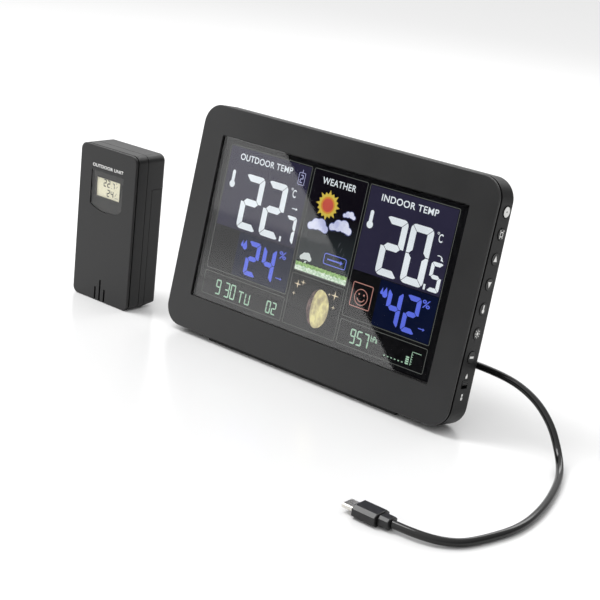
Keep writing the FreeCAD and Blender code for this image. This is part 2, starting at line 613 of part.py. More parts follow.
def stand_leg():
    body = new_body("leg_form")
    half = "leg_width / 2"
    low = f"pad_height - {LEG_LENGTH}"
    slab(body, "leg_plate", "Pad", ("leg_width", f"-({low})", 1.2), (0, f"({low}) / 2"),
         ("-leg_thick / 2", "leg_thick / 2"))
    slab(body, "leg_panel", "Pocket", ("leg_width - 12", f"-({low}) - 16", 3), (0, f"({low}) / 2 - 1"),
         ("leg_thick / 2 - 0.8", "leg_thick"))
    barrel = rod("leg_barrel", "x", "barrel_radius", (f"-{half}", half), (0, 0))
    ribs = [box(f"leg_rib{i}", (x - 0.6, x + 0.6), ("leg_thick / 2 - 0.9", "leg_thick / 2"),
                (f"({low}) + 8", -9)) for i, x in enumerate((-12, 0, 12))]
    bore = rod("leg_bore", "x", "pin_radius + pin_clearance", (-40, 40), (0, 0))
    hang(node("stand_leg", cut("stand_leg", join("leg_solid", body, barrel, *ribs), bore)))
    pin_half = "leg_width / 2 + leg_side_gap + 2"
    lean(node("stand_hinge_pin", rod("stand_hinge_pin", "x", "pin_radius", (f"-({pin_half})", pin_half),
                                     ("pivot_depth", "pivot_height"))))
    block = box("pad_block", (f"3 - {half}", f"{half} - 3"), ("-leg_thick / 2", "leg_thick / 2"),
                (f"-{LEG_LENGTH} - 4", low))
    pad = hang(group("pad_hung", [block]))
    floor = box("pad_floor", (-50, 50), (0, 80), (-20, 0))
    node("stand_leg_pad", cut("stand_leg_pad", pad, floor))


# ---------------------------------------------------------------- charging lead

def usb_a_plug():
    cy, cz = "port_depth", "port_height"
    inner = "bulge_width / 2 - 0.4"
    tip_x = f"{inner} - 0.7 - plug_length"
    grip_x = "bulge_width / 2 + 0.4"
    outer = box("plug_outer", (tip_x, f"{grip_x} + 1"), (f"{cy} - plug_thick / 2", f"{cy} + plug_thick / 2"),
                (f"{cz} - plug_width / 2", f"{cz} + plug_width / 2"))
    hollow_y = "plug_thick / 2 - plug_sheet"
    hollow_z = "plug_width / 2 - plug_sheet"
    hollow = box("plug_hollow", (f"{tip_x} - 1", grip_x), (f"{cy} - ({hollow_y})", f"{cy} + 0.05"),
                 (f"{cz} - ({hollow_z})", f"{cz} + ({hollow_z})"))
    lean(node("usb_a_plug_shell", cut("usb_a_plug_shell", outer, hollow)))
    body = new_body("grip_form")
    size = ("grip_thick", "grip_width", 1.5)
    sketch = new_sketch(body, "grip_sketch", "YZ_Plane", f"{grip_x} + 1")
    rounded_outline(sketch, *size, cy, cz)
    pad = body.newObject("PartDesign::Pad", "grip_pad")
    pad.Profile = sketch
    bind(pad, "Length", minus("grip_end", f"{grip_x} + 1"))
    round_edges(body, "grip_round", pad, 1.2,
                lambda edge: all(abs(v.X - number("grip_end")) < 0.01 for v in edge.Vertexes))
    lean(node("usb_a_plug_grip", body))
    relief = taper("relief_cone", "x", (3.4, 2.6), ("grip_end", "relief_end"), (cy, cz))
    rings = []
    for step in range(3):
        left = f"grip_end + 1.8 + 2.6 * {step}"
        ring = rod(f"relief_ring{step}", "x", 5, (left, f"{left} + 0.9"), (cy, cz))
        core = rod(f"relief_core{step}", "x", 2.4, (left, f"{left} + 0.9"), (cy, cz))
        rings.append(cut(f"relief_groove{step}", ring, core))
    lean(node("usb_a_strain_relief", cut("usb_a_strain_relief", relief, *rings)))


def bevelled_bar(name, half_width, half_thick, bevel, span, centre):
    """A bar along X with flat bevels along its four long edges and softened ends."""
    cy, cz = centre
    side = half_thick - bevel
    flat = half_width - 1.4 * bevel
    corners = ((half_width, -side), (half_width, side), (flat, half_thick), (-flat, half_thick),
               (-half_width, side), (-half_width, -side), (-flat, -half_thick), (flat, -half_thick))
    body = new_body(name)
    sketch = new_sketch(body, name + "_sketch", "YZ_Plane", span[0])
    polygon_outline(sketch, [(f"{cy} + ({u})", f"{cz} + ({v})") for u, v in corners])
    pad = body.newObject("PartDesign::Pad", name + "_pad")
    pad.Profile = sketch
    bind(pad, "Length", minus(span[1], span[0]))
    round_edges(body, name + "_round", pad, 0.5, lambda edge: edge.Length < 20 and any(
        all(abs(v.X - number(end)) < 0.01 for v in edge.Vertexes) for end in span))
    return body


def usb_c_plug():
    cy, cz = "lead_end_y", "plug_level"
    neck_x = "lead_end_x - tip_neck"
    node("usb_c_strain_relief", bevelled_bar("neck_form", 3.7, 2.7, 1.1, (neck_x, "lead_end_x"), (cy, cz)))
    node("usb_c_plug_grip", bevelled_bar("tip_grip_form", 5.8, 3.2, 1.5, ("tip_grip_end", neck_x), (cy, cz)))
    shell = stadium("tip_outer", ("tip_end", "tip_grip_end"), "tip_width / 2", "tip_thick / 2", (cy, cz))
    hollow = stadium("tip_hollow", ("tip_end - 1", "tip_grip_end - 0.6"), "tip_width / 2 - 0.32",
                     "tip_thick / 2 - 0.32", (cy, cz))
    node("usb_c_plug_tip", cut("usb_c_plug_tip", shell, hollow))


# The cable's route, from the USB-A strain relief to the USB-C one: out along the plug, down past the
# case's rear edge to the table, round to the front and back towards the station.
PORT_Y = ("port_depth * cos(lean_angle) + port_height * sin(lean_angle)"
          " - foot_setback * cos(lean_angle)")
PORT_Z = "front_lift - port_depth * sin(lean_angle) + port_height * cos(lean_angle)"
CABLE_ROUTE = [
    ("relief_end", PORT_Y, PORT_Z),
    (117.0, PORT_Y, PORT_Z),
    (137.0, 20.5, 27.8),
    (151.0, 17.5, 18.3),
    (160.0, 13.0, 7.5),
    (169.0, 2.0, 2.2),
    (178.0, -17.5, "cable_diameter / 2"),
    (186.5, -44.0, "cable_diameter / 2"),
    (190.5, -70.0, "cable_diameter / 2"),
    (186.5, -92.0, "cable_diameter / 2"),
    (181.0, -108.0, "cable_diameter / 2 + 0.2"),
    (167.0, "lead_end_y", "plug_level"),
    ("lead_end_x", "lead_end_y", "plug_level"),
]
ARC_SHARE = 0.45


def cable_path(points):
    """Straight runs joined by tangent arcs, and the arcs' radii."""
    edges = []
    radii = []
    here = points[0]
    for before, corner, after in zip(points, points[1:], points[2:]):
        into = corner - before
        away = after - corner
        half_turn = into.getAngle(away) / 2
        reach = ARC_SHARE * min(into.Length, away.Length)
        radius = reach / math.tan(half_turn)
        radii.append(radius)
        into.normalize()
        away.normalize()
        start = corner - into * reach
        end = corner + away * reach
        inward = away - into
        inward.normalize()
        middle = corner + inward * (radius / math.cos(half_turn) - radius)
        edges.append(Part.LineSegment(here, start).toShape())
        edges.append(Part.Arc(start, middle, end).toShape())
        here = end
    edges.append(Part.LineSegment(here, points[-1]).toShape())
    return Part.Wire(edges), radii


def charging_cable():
    """A tube along the route; its sizes are read from the sheet."""
    points = [FreeCAD.Vector(*[number(value) for value in place]) for place in CABLE_ROUTE]
    path, radii = cable_path(points)
    radius = number("cable_diameter") / 2
    start = Part.Wire([Part.Circle(points[0], points[1] - points[0], radius).toShape()])
    tube = path.makePipeShell([start], True, False)
    cable = doc.addObject("Part::Feature", "charging_cable")
    cable.Shape = tube
    cable.Placement = FreeCAD.Placement()
    expected = math.pi * radius ** 2 * path.Length
    print("cable length %.1f mm, volume %.1f of %.1f mm3" % (path.Length, tube.Volume, expected))
    print("cable arc radii", [round(value, 1) for value in radii])
    node("charging_cable", cable)


# ---------------------------------------------------------------- outdoor sensor

def sensor_outline(inset):
    """Width, height and corner radius of the sensor's outline, moved inwards by inset."""
    return (f"sensor_width - 2 * ({inset})", f"sensor_height - 2 * ({inset})",
            f"sensor_corner - ({inset})")


def sensor_form(name, inset, front):
    """The sensor's outer form behind its front cover, or its hollow when inset is the wall."""
    body = new_body(name)
    size = sensor_outline(inset)
    back = f"sensor_depth - ({inset})"
    block = slab(body, name + "_block", "Pad", size, (0, "sensor_height / 2"), (front, back))
    if number(inset) == 0:
        round_edges(body, name + "_round", block, "sensor_rear_edge",
                    lambda edge: all(abs(v.Y - number(back)) < 0.01 for v in edge.Vertexes))
    beyond = "sensor_depth + 2"
    climb = f"sensor_rise * ({beyond} - sensor_flat) / (sensor_depth - sensor_flat)"
    side_cut(body, name + "_slope", [
        (f"sensor_flat + ({inset})", inset), (beyond, f"({inset}) - 5"),
        (beyond, f"({inset}) + {climb}")], "sensor_width + 10")
    return body


def sensor_shell():
    front = "sensor_plate + sensor_seam"
    shell = cut("sensor_shell", sensor_form("sensor_outer", "0", front),
                sensor_form("sensor_inner", "sensor_wall", front))
    wall = "cover_front"
    beyond = box("cover_zone", (-40, 40), (wall, 40), (-10, "cover_top"))
    partition = box("sensor_partition", ("sensor_wall - sensor_width / 2 - 0.2",
                                         "sensor_width / 2 - sensor_wall + 0.2"),
                    ("cover_front - 1.6", wall), ("sensor_wall - 0.2", "cover_top"))
    roof = box("sensor_roof", ("0.4 - sensor_width / 2", "sensor_width / 2 - 0.4"),
               ("cover_front - 1.6", "sensor_depth - 1"), ("cover_top", "cover_top + 1.4"))
    bay = box("bay_block", ("-bay_half - 1.2", "bay_half + 1.2"), ("bay_floor - 1.2", wall),
              ("bay_low - 1.2", "bay_high + 1.2"))
    posts = []
    for index, (x, z) in enumerate(SENSOR_SCREW_PLACES):
        post_back = "cover_front - 0.5" if z < 50 else "sensor_depth - 0.8"
        posts.append(rod(f"sensor_post{index}", "y", 2.6, (5.2, post_back), (x, z)))
    solid = join("sensor_ribbed", cut("sensor_trimmed", shell, beyond), partition, roof, bay, *posts)
    taken = [box("bay_space", ("-bay_half", "bay_half"), ("bay_floor", 40), ("bay_low", "bay_high"))]
    for index, (x, z) in enumerate(SENSOR_SCREW_PLACES):
        taken.append(rod(f"sensor_counter{index}", "y", 1.9, (8, 40), (x, z)))
        taken.append(rod(f"sensor_clear{index}", "y", 1.0, (5, 9), (x, z)))
    taken.append(box("channel_slot", (-8.5, -1.5), ("cover_front - 3", 30), (69.5, 72.5)))
    taken.append(rod("reset_hole", "y", 1.7, ("cover_front - 3", 30), (7, 71)))
    centre, span = (0, "sensor_height / 2"), ("sensor_groove - 0.2", "sensor_groove + 0.2")
    taken.append(cut("groove_band", rounded_slab("groove_outer", sensor_outline(-1), centre, span),
                     rounded_slab("groove_inner", sensor_outline(0.45), centre, span)))
    stand_sensor(node("sensor_rear_housing", cut("sensor_rear_housing", solid, *taken)))


def sensor_cover():
    front = "cover_front + cover_gap"
    outer = sensor_form("cover_outer", "0", front)
    inner = sensor_form("cover_inner", "sensor_wall", front)
    top_edge = "cover_top - cover_gap"
    above = box("above_cover", (-40, 40), (0, 40), (top_edge, 200))
    form = cut("cover_form", cut("cover_shell", outer, inner), above)
    top = box("cover_ledge", ("2 - sensor_width / 2", "sensor_width / 2 - 2"),
              ("sensor_depth - 4", "sensor_depth - 1"), (f"{top_edge} - 1.4", top_edge))
    heels = [box(f"heel{i}", (x - 4, x + 4), (17, 23), (0, 4.4)) for i, x in enumerate((-11, 11))]
    grooves = [box(f"cover_groove{i}", (-8, 8), ("sensor_depth - 0.6", 40), (66 + 1.8 * i, 66.8 + 1.8 * i))
               for i in range(4)]
    solid = join("cover_solid", form, top, *heels)
    stand_sensor(node("sensor_battery_cover", cut("sensor_battery_cover", solid, *grooves)))


def shield_outline(sketch, inset):
    """Flat top, straight sides and a bottom edge that is one shallow arc."""
    half, top = f"(shield_half - ({inset}))", f"(shield_top - ({inset}))"
    side = f"(shield_side + ({inset}) / 2)"
    sag = f"({side} - shield_low - ({inset}))"
    radius = f"(({half} * {half} + {sag} * {sag}) / (2 * {sag}))"
    corners = [(f"-{half}", side), (f"-{half}", top), (half, top), (half, side)]
    places = [FreeCAD.Vector(number(u), number(v), 0) for u, v in corners]
    for start, end in zip(places, places[1:]):
        sketch.addGeometry(Part.LineSegment(start, end), False)
    middle = FreeCAD.Vector(0, number(f"{side} - {sag} + {radius}"), 0)
    circle = Part.Circle(middle, FreeCAD.Vector(0, 0, 1), number(radius))
    swing = math.asin(number(half) / number(radius))
    bottom = -math.pi / 2
    sketch.addGeometry(Part.ArcOfCircle(circle, bottom - swing, bottom + swing), False)
    constrain(sketch, "Coincident", 0, 2, 1, 1)
    constrain(sketch, "Coincident", 1, 2, 2, 1)
    constrain(sketch, "Coincident", 3, 1, 0, 1)
    constrain(sketch, "Coincident", 3, 2, 2, 2)
    constrain(sketch, "Horizontal", 1)
    constrain(sketch, "Vertical", 0)
    constrain(sketch, "Vertical", 2)
    constrain(sketch, "DistanceX", -1, 1, 0, 1, value=f"-{half}")
    constrain(sketch, "DistanceX", -1, 1, 2, 1, value=half)
    constrain(sketch, "DistanceY", -1, 1, 1, 1, value=top)
    constrain(sketch, "DistanceY", -1, 1, 0, 1, value=side)
    constrain(sketch, "DistanceY", -1, 1, 2, 2, value=side)
    constrain(sketch, "DistanceY", -1, 1, 3, 3, value=f"{side} - {sag} + {radius}")


def shield(body, name, kind, inset, y):
    sketch = new_sketch(body, name + "_sketch", "XZ_Plane", f"-({y[0]})")
    shield_outline(sketch, inset)
    feature = body.newObject("PartDesign::" + kind, name)
    feature.Profile = sketch
    bind(feature, "Length", minus(y[1], y[0]))
    feature.Reversed = kind == "Pad"
    return feature


def sensor_front():
    body = new_body("sensor_front_form")
    centre = (0, "sensor_height / 2")
    plate = slab(body, "sensor_face", "Pad", sensor_outline("0"), centre, (0, "sensor_plate"))
    round_edges(body, "sensor_face_round", plate, 0.6,
                lambda edge: all(abs(v.Y) < 0.01 for v in edge.Vertexes))
    slab(body, "sensor_skirt", "Pad", sensor_outline("sensor_wall + skirt_gap"), centre,
         ("sensor_plate", 4.5))
    slab(body, "sensor_hollow", "Pocket", sensor_outline("sensor_wall + skirt_gap + skirt_wall"), centre,
         ("sensor_plate + 0.5", 6))
    shield(body, "shield_recess", "Pocket", "0", (-1, "shield_depth + 0.4"))
    view = ("2 * view_half", "view_top - view_low", 0.3)
    slab(body, "view_window", "Pocket", view, (0, "(view_top + view_low) / 2"), (0, 6))
    posts = []
    bores = []
    for index, (x, z) in enumerate(SENSOR_SCREW_PLACES):
        posts.append(rod(f"front_post{index}", "y", 2.2, (1.6, 5.1), (x, z)))
        bores.append(rod(f"front_bore{index}", "y", 0.85, (2.2, 6), (x, z)))
    slits = [box(f"slit{i}", (x - 0.7, x + 0.7), (-1, 4), (0.6, high))
             for i, (x, high) in enumerate(((-4.3, 8.7), (-0.1, 14.1), (4.1, 8.7)))]
    form = join("sensor_front_posted", body, *posts)
    stand_sensor(node("sensor_front_cover", cut("sensor_front_cover", form, *bores, *slits)))
    lens = new_body("sensor_lens")
    shield(lens, "sensor_lens_pad", "Pad", "0.1", ("0.4", "shield_depth + 0.4"))
    stand_sensor(node("sensor_lens", lens))


def sensor_insides():
    stand_sensor(node("sensor_lcd", box("sensor_lcd", ("-view_half - 1", "view_half + 1"), (2.1, 3.9),
                                        ("view_low - 1.5", "view_top + 1.5"))))
    stand_sensor(node("sensor_board", box("sensor_board", (-17, 17), (4.6, 5.8), (12, 86))))
    stand_sensor(node("sensor_antenna", rod("sensor_antenna", "z", 0.4, (20, 84), (19.5, 6.4))))
    stand_sensor(node("sensor_probe", rod("sensor_probe", "z", 1.2, (3.5, 12), (0, 5.2))))
    cells = []
    contacts = []
    depth = "bay_floor + 0.2 + cell_radius"
    for index, side in enumerate((-1, 1)):
        x = f"({side}) * cell_pitch / 2 * 1.02"
        low = "bay_low + 2.5"
        case = rod(f"sensor_cell{index}", "z", "cell_radius", (low, f"{low} + cell_length - 1"), (x, depth))
        nub = rod(f"sensor_cell_nub{index}", "z", 2.7, (f"{low} + cell_length - 1", f"{low} + cell_length"),
                  (x, depth))
        cells.append(join(f"sensor_battery{index}", case, nub))
        ends = [("bay_low", ("bay_low + 0.2", f"{low} - contact_gap"), ("spring_base", "spring_tip")),
                ("bay_high - contact_sheet", (f"{low} + cell_length + contact_gap", "bay_high - 0.2"),
                 ("spring_tip", "spring_base"))]
        for end, (place, span, radii) in enumerate(ends):
            plate = box(f"sensor_plate{index}_{end}", (f"{x} - 4", f"{x} + 4"),
                        ("bay_floor + 0.5", "bay_floor + 11.5"), (place, f"{place} + contact_sheet"))
            spring = taper(f"sensor_spring{index}_{end}", "z", radii, span, (x, depth))
            contacts.append(join(f"sensor_contact{index}_{end}", plate, spring))
    stand_sensor(node("sensor_batteries", group("sensor_batteries", cells)))
    stand_sensor(node("sensor_battery_contacts", group("sensor_battery_contacts", contacts)))
    screws = []
    for index, (x, z) in enumerate(SENSOR_SCREW_PLACES):
        shank = rod(f"sensor_shank{index}", "y", 0.85, (2.2, 8.1), (x, z))
        head = rod(f"sensor_head{index}", "y", 1.6, (8, 9.2), (x, z))
        screws.append(join(f"sensor_screw{index}", shank, head))
    stand_sensor(node("sensor_screws", group("sensor_screws", screws)))
    knob = box("channel_knob", (-8.2, -6.0), ("cover_front - 1.8", "cover_front - 0.2"), (69.8, 72.2))
    plate = box("channel_plate", (-13.0, -1.2), (12.0, "cover_front - 1.75"), (68.6, 73.4))
    stand_sensor(node("sensor_channel_switch", join("sensor_channel_switch", knob, plate)))
    cap = rod("reset_cap", "y", 1.5, (12.0, "cover_front - 0.1"), (7, 71))
    flange = rod("reset_flange", "y", 2.3, (11.8, "cover_front - 1.75"), (7, 71))
    stand_sensor(node("sensor_reset_button", join("sensor_reset_button", cap, flange)))


# ---------------------------------------------------------------- build and write

def check_document():
    doc.recompute()
    for item in doc.Objects:
        if "Invalid" in item.State or "Error" in item.State:
            raise RuntimeError(f"{item.Label} failed: {item.State}")
    for name, piece in NODES.items():
        shape = piece.Shape
        if shape.isNull() or not shape.isValid() or not shape.Solids:
            raise RuntimeError(f"{name} has no valid solid")
        print("%-26s %2d solids %10.1f mm3" % (name, len(shape.Solids), shape.Volume))


rear_housing()
front_bezel()
display_stack()
boards()
side_controls()
power_parts()
sockets()
screws_and_foot()
stand_leg()
usb_a_plug()
usb_c_plug()
charging_cable()
sensor_shell()
sensor_cover()
sensor_front()
sensor_insides()
check_document()

os.makedirs("parts", exist_ok=True)
for name, piece in NODES.items():
    piece.Shape.exportStep(f"parts/{name}.step")
print(len(NODES), "sub-parts")
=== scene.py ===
import json
import math

import bmesh
import bpy
from mathutils import Matrix, Vector


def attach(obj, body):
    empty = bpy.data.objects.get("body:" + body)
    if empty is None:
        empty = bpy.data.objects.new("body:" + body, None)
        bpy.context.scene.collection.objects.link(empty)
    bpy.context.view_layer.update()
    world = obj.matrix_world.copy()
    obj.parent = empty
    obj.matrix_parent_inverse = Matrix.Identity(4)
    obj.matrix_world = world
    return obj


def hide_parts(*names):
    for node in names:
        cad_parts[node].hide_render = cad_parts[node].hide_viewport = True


# Home weather station with its charging lead and outdoor sensor. The drawing helpers take millimetres
# on the face that they draw on, and give metres in the shared frame.

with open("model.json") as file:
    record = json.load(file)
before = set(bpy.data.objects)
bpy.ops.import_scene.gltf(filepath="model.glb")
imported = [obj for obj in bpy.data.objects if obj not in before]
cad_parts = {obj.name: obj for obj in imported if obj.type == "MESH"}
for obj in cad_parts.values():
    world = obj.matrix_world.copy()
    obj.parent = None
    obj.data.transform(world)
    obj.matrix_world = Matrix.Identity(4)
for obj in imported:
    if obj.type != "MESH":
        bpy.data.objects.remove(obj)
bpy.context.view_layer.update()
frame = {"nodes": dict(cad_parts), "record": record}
nodes = frame["nodes"]

MM = 0.001

# How the two objects stand. The station is drawn upright and then leant back.
LEAN = math.radians(9.4)
FRONT_LIFT = 3.4
FOOT_SETBACK = 9.0
SENSOR_PLACE = Vector((-159.2, -13.0, 0.0))


# ---------------------------------------------------------------- camera and light

CAMERA_PLACE = (473.3, -601.0, 283.9)
CAMERA_RIGHT = (0.75464, 0.64737, 0.10692)
CAMERA_UP = (-0.27348, 0.16220, 0.94810)
CAMERA_LENS = 85.57
CAMERA_SENSOR = 36.0

# The white surroundings are brightest towards the upper left and front.
BRIGHT_SIDE = (-0.68, -0.42, 0.60)
DIM_STRENGTH, BRIGHT_STRENGTH = 0.15, 1.45

# The floor mirrors the object, and less and less between two distances from its middle, in metres.
FLOOR_REACH = 60.0
FLOOR_ALBEDO = 0.76
FLOOR_GLOSS = 0.45
GLOSS_FADES_FROM, GLOSS_FADES_TO = 0.3, 0.8

# Seen from the camera's side, the glass mirrors what stands to the front left. The card's slanting edge
# is what the diagonal reflection on the glass ends at. Its corners and CARD_NEAREST are in metres.
CARD = ((-0.310, -0.199, 0.214), (-0.093, -0.258, 0.001), (0.030, -0.282, 0.001), (0.030, -0.266, 0.214))
CARD_NEAREST = 0.225


def place_camera():
    """A long lens from the reader's right, a little above, and slightly rolled."""
    right = Vector(CAMERA_RIGHT)
    up = Vector(CAMERA_UP)
    back = right.cross(up)
    turn = Matrix((right, up, back)).transposed().to_4x4()
    data = bpy.data.cameras.new("camera")
    data.lens = CAMERA_LENS
    data.sensor_width = CAMERA_SENSOR
    camera = bpy.data.objects.new("camera", data)
    camera.matrix_world = Matrix.Translation(Vector(CAMERA_PLACE) * MM) @ turn
    bpy.context.scene.collection.objects.link(camera)
    bpy.context.scene.camera = camera


def area_light(name, place, aim, size, power):
    """A white rectangular lamp; place, aim and size are in metres and power in watts."""
    data = bpy.data.lights.new(name, "AREA")
    data.shape = "RECTANGLE"
    data.size, data.size_y = size
    data.energy = power
    lamp = bpy.data.objects.new(name, data)
    lamp.location = place
    lamp.rotation_euler = (Vector(aim) - Vector(place)).to_track_quat("-Z", "Y").to_euler()
    bpy.context.scene.collection.objects.link(lamp)


def white_surroundings():
    world = bpy.data.worlds.new("studio")
    bpy.context.scene.world = world
    world.use_nodes = True
    tree = world.node_tree
    background = tree.nodes["Background"]
    background.inputs["Color"].default_value = (1.0, 1.0, 1.0, 1.0)
    slope = tree.nodes.new("ShaderNodeVectorMath")
    slope.operation = "DOT_PRODUCT"
    slope.inputs[1].default_value = BRIGHT_SIDE
    tree.links.new(tree.nodes.new("ShaderNodeTexCoord").outputs["Generated"], slope.inputs[0])
    strength = spread(tree, slope.outputs["Value"], DIM_STRENGTH, BRIGHT_STRENGTH, start=-1.0)
    tree.links.new(strength, background.inputs["Strength"])


def pale_floor():
    corners = rect(-FLOOR_REACH, FLOOR_REACH, -FLOOR_REACH, FLOOR_REACH)
    floor = mesh_piece("floor", [[Vector((x, y, 0)) for x, y in corners]])
    paint, tree, shader = new_material("floor_white")
    shader.inputs["Base Color"].default_value = (FLOOR_ALBEDO, FLOOR_ALBEDO, FLOOR_ALBEDO, 1.0)
    shader.inputs["Roughness"].default_value = 0.2
    distance = tree.nodes.new("ShaderNodeVectorMath")
    distance.operation = "LENGTH"
    tree.links.new(tree.nodes.new("ShaderNodeTexCoord").outputs["Object"], distance.inputs[0])
    gloss = spread(tree, distance.outputs["Value"], FLOOR_GLOSS, 0.0, GLOSS_FADES_FROM, GLOSS_FADES_TO)
    tree.links.new(gloss, shader.inputs["Specular IOR Level"])
    floor.data.materials.append(paint)


def dark_card():
    """A card that only shows as a reflection, and keeps the right of the glass clear."""
    card = mesh_piece("dark_card", [[Vector(corner) for corner in CARD]])
    card.data.materials.append(far_black("card_black", CARD_NEAREST))
    for ray in ("camera", "diffuse", "shadow", "transmission", "volume_scatter"):
        setattr(card, "visible_" + ray, False)


def studio():
    """Pale floor in white surroundings, a soft key from the upper left and a rim light from behind."""
    bpy.context.scene.view_settings.view_transform = "Standard"
    white_surroundings()
    pale_floor()
    dark_card()
    middle = (0, 0, 0.05)
    area_light("key", place=(-0.75, -0.35, 1.35), aim=middle, size=(0.55, 0.9), power=15.0)
    area_light("rim", place=(-0.2, 1.1, 0.9), aim=middle, size=(1.2, 0.35), power=5.0)


# ---------------------------------------------------------------- node helpers

def new_material(name):
    material = bpy.data.materials.new(name)
    material.use_nodes = True
    tree = material.node_tree
    return material, tree, tree.nodes["Principled BSDF"]


def noise(tree, scale, detail=3.0, stretch=None):
    """Noise in the shared frame, in features per metre."""
    where = tree.nodes.new("ShaderNodeTexCoord").outputs["Object"]
    if stretch:
        mapping = tree.nodes.new("ShaderNodeMapping")
        mapping.inputs["Scale"].default_value = stretch
        tree.links.new(where, mapping.inputs["Vector"])
        where = mapping.outputs["Vector"]
    texture = tree.nodes.new("ShaderNodeTexNoise")
    texture.inputs["Scale"].default_value = scale
    texture.inputs["Detail"].default_value = detail
    tree.links.new(where, texture.inputs["Vector"])
    return texture.outputs["Fac"]


def ramp(tree, factor, stops):
    """A colour that runs through stops = [(position, colour), ...]."""
    node = tree.nodes.new("ShaderNodeValToRGB")
    while len(node.color_ramp.elements) < len(stops):
        node.color_ramp.elements.new(0.5)
    for element, (position, colour) in zip(node.color_ramp.elements, stops):
        element.position = position
        element.color = (*colour, 1.0)
    tree.links.new(factor, node.inputs["Fac"])
    return node.outputs["Color"]


def spread(tree, value, low, high, start=0.0, end=1.0):
    """Runs from low to high while the value runs from start to end."""
    node = tree.nodes.new("ShaderNodeMapRange")
    node.inputs["From Min"].default_value = start
    node.inputs["From Max"].default_value = end
    node.inputs["To Min"].default_value = low
    node.inputs["To Max"].default_value = high
    tree.links.new(value, node.inputs["Value"])
    return node.outputs["Result"]


def scaled(colour, factor):
    return tuple(min(1.0, c * factor) for c in colour)


def varied(tree, factor, colour, vary):
    """The colour, a little darker and lighter by turns."""
    return ramp(tree, factor, [(0.3, scaled(colour, 1 - vary)), (0.7, scaled(colour, 1 + vary))])


def mix_to_surface(tree, share, first, second):
    """Shows two shaders mixed, with the given share of the second."""
    mix = tree.nodes.new("ShaderNodeMixShader")
    tree.links.new(share, mix.inputs["Fac"])
    tree.links.new(first, mix.inputs[1])
    tree.links.new(second, mix.inputs[2])
    output = next(node for node in tree.nodes if node.type == "OUTPUT_MATERIAL")
    tree.links.new(mix.outputs["Shader"], output.inputs["Surface"])


# ---------------------------------------------------------------- materials

ROUGHNESS_SWING = 0.05
GRAIN_DEPTH = 0.0001

# The share of light that a clear sheet mirrors when it is seen from straight ahead.
HEAD_ON_MIRROR = 0.052
GRAZING_POWER = 5.0


def shade(name, colour, rough=0.5, vary=0.08, patch=35.0, grain=2600.0, bump=0.12, metal=0.0,
          gloss=0.5, stretch=None):
    """Solid surface: slow changes of colour and gloss, and a fine grain in relief."""
    material, tree, shader = new_material(name)
    slow = noise(tree, patch, stretch=stretch)
    tree.links.new(varied(tree, slow, colour, vary), shader.inputs["Base Color"])
    roughness = spread(tree, slow, rough - ROUGHNESS_SWING, rough + ROUGHNESS_SWING)
    tree.links.new(roughness, shader.inputs["Roughness"])
    relief = tree.nodes.new("ShaderNodeBump")
    relief.inputs["Strength"].default_value = bump
    relief.inputs["Distance"].default_value = GRAIN_DEPTH
    tree.links.new(noise(tree, grain, 2.0, stretch), relief.inputs["Height"])
    tree.links.new(relief.outputs["Normal"], shader.inputs["Normal"])
    shader.inputs["Metallic"].default_value = metal
    shader.inputs["Specular IOR Level"].default_value = gloss
    return material


def lit(name, roughness=0.5):
    """The start of a material that only gives light: black, with no gloss of its own."""
    material, tree, shader = new_material(name)
    shader.inputs["Base Color"].default_value = (0.0, 0.0, 0.0, 1.0)
    shader.inputs["Roughness"].default_value = roughness
    shader.inputs["Specular IOR Level"].default_value = 0.0
    shader.inputs["Emission Strength"].default_value = 1.0
    return material, tree, shader


def glow(name, colour, vary=0.08):
    """A lit part of the display, with the backlight's slight unevenness."""
    material, tree, shader = lit(name, roughness=0.6)
    tree.links.new(varied(tree, noise(tree, 45.0), colour, vary), shader.inputs["Emission Color"])
    return material


def mottled(name, dark, light, scale=900.0, stretch=None):
    """A lit part with the fine dots that the display draws textures with."""
    material, tree, shader = lit(name)
    tint = ramp(tree, noise(tree, scale, stretch=stretch), [(0.38, dark), (0.62, light)])
    tree.links.new(tint, shader.inputs["Emission Color"])
    return material


def sky_light():
    """The forecast's sky, which pales towards the ground."""
    material, tree, shader = lit("lcd_sky")
    parts = tree.nodes.new("ShaderNodeSeparateXYZ")
    tree.links.new(tree.nodes.new("ShaderNodeTexCoord").outputs["Object"], parts.inputs["Vector"])
    ground, zenith = (LCD_FACE(0, height).z for height in (61.0, 92.0))
    climb = spread(tree, parts.outputs["Z"], 0.0, 1.0, ground, zenith)
    tint = ramp(tree, climb, [(0.0, (0.026, 0.034, 0.036)), (1.0, (0.004, 0.003, 0.006))])
    tree.links.new(tint, shader.inputs["Emission Color"])
    return material


def clear_plate(name, tint=(1.0, 1.0, 1.0), gloss=0.03):
    """Clear sheet: what is behind it, and what it mirrors, which grows steeply at grazing angles."""
    material, tree, shader = new_material(name)
    tree.nodes.remove(shader)
    through = tree.nodes.new("ShaderNodeBsdfTransparent")
    through.inputs["Color"].default_value = (*tint, 1.0)
    mirror = tree.nodes.new("ShaderNodeBsdfGlossy")
    mirror.inputs["Roughness"].default_value = gloss
    steep = tree.nodes.new("ShaderNodeMath")
    steep.operation = "POWER"
    steep.inputs[1].default_value = GRAZING_POWER
    tree.links.new(tree.nodes.new("ShaderNodeLayerWeight").outputs["Facing"], steep.inputs[0])
    share = spread(tree, steep.outputs["Value"], HEAD_ON_MIRROR, 1.0)
    mix_to_surface(tree, share, through.outputs["BSDF"], mirror.outputs["BSDF"])
    return material


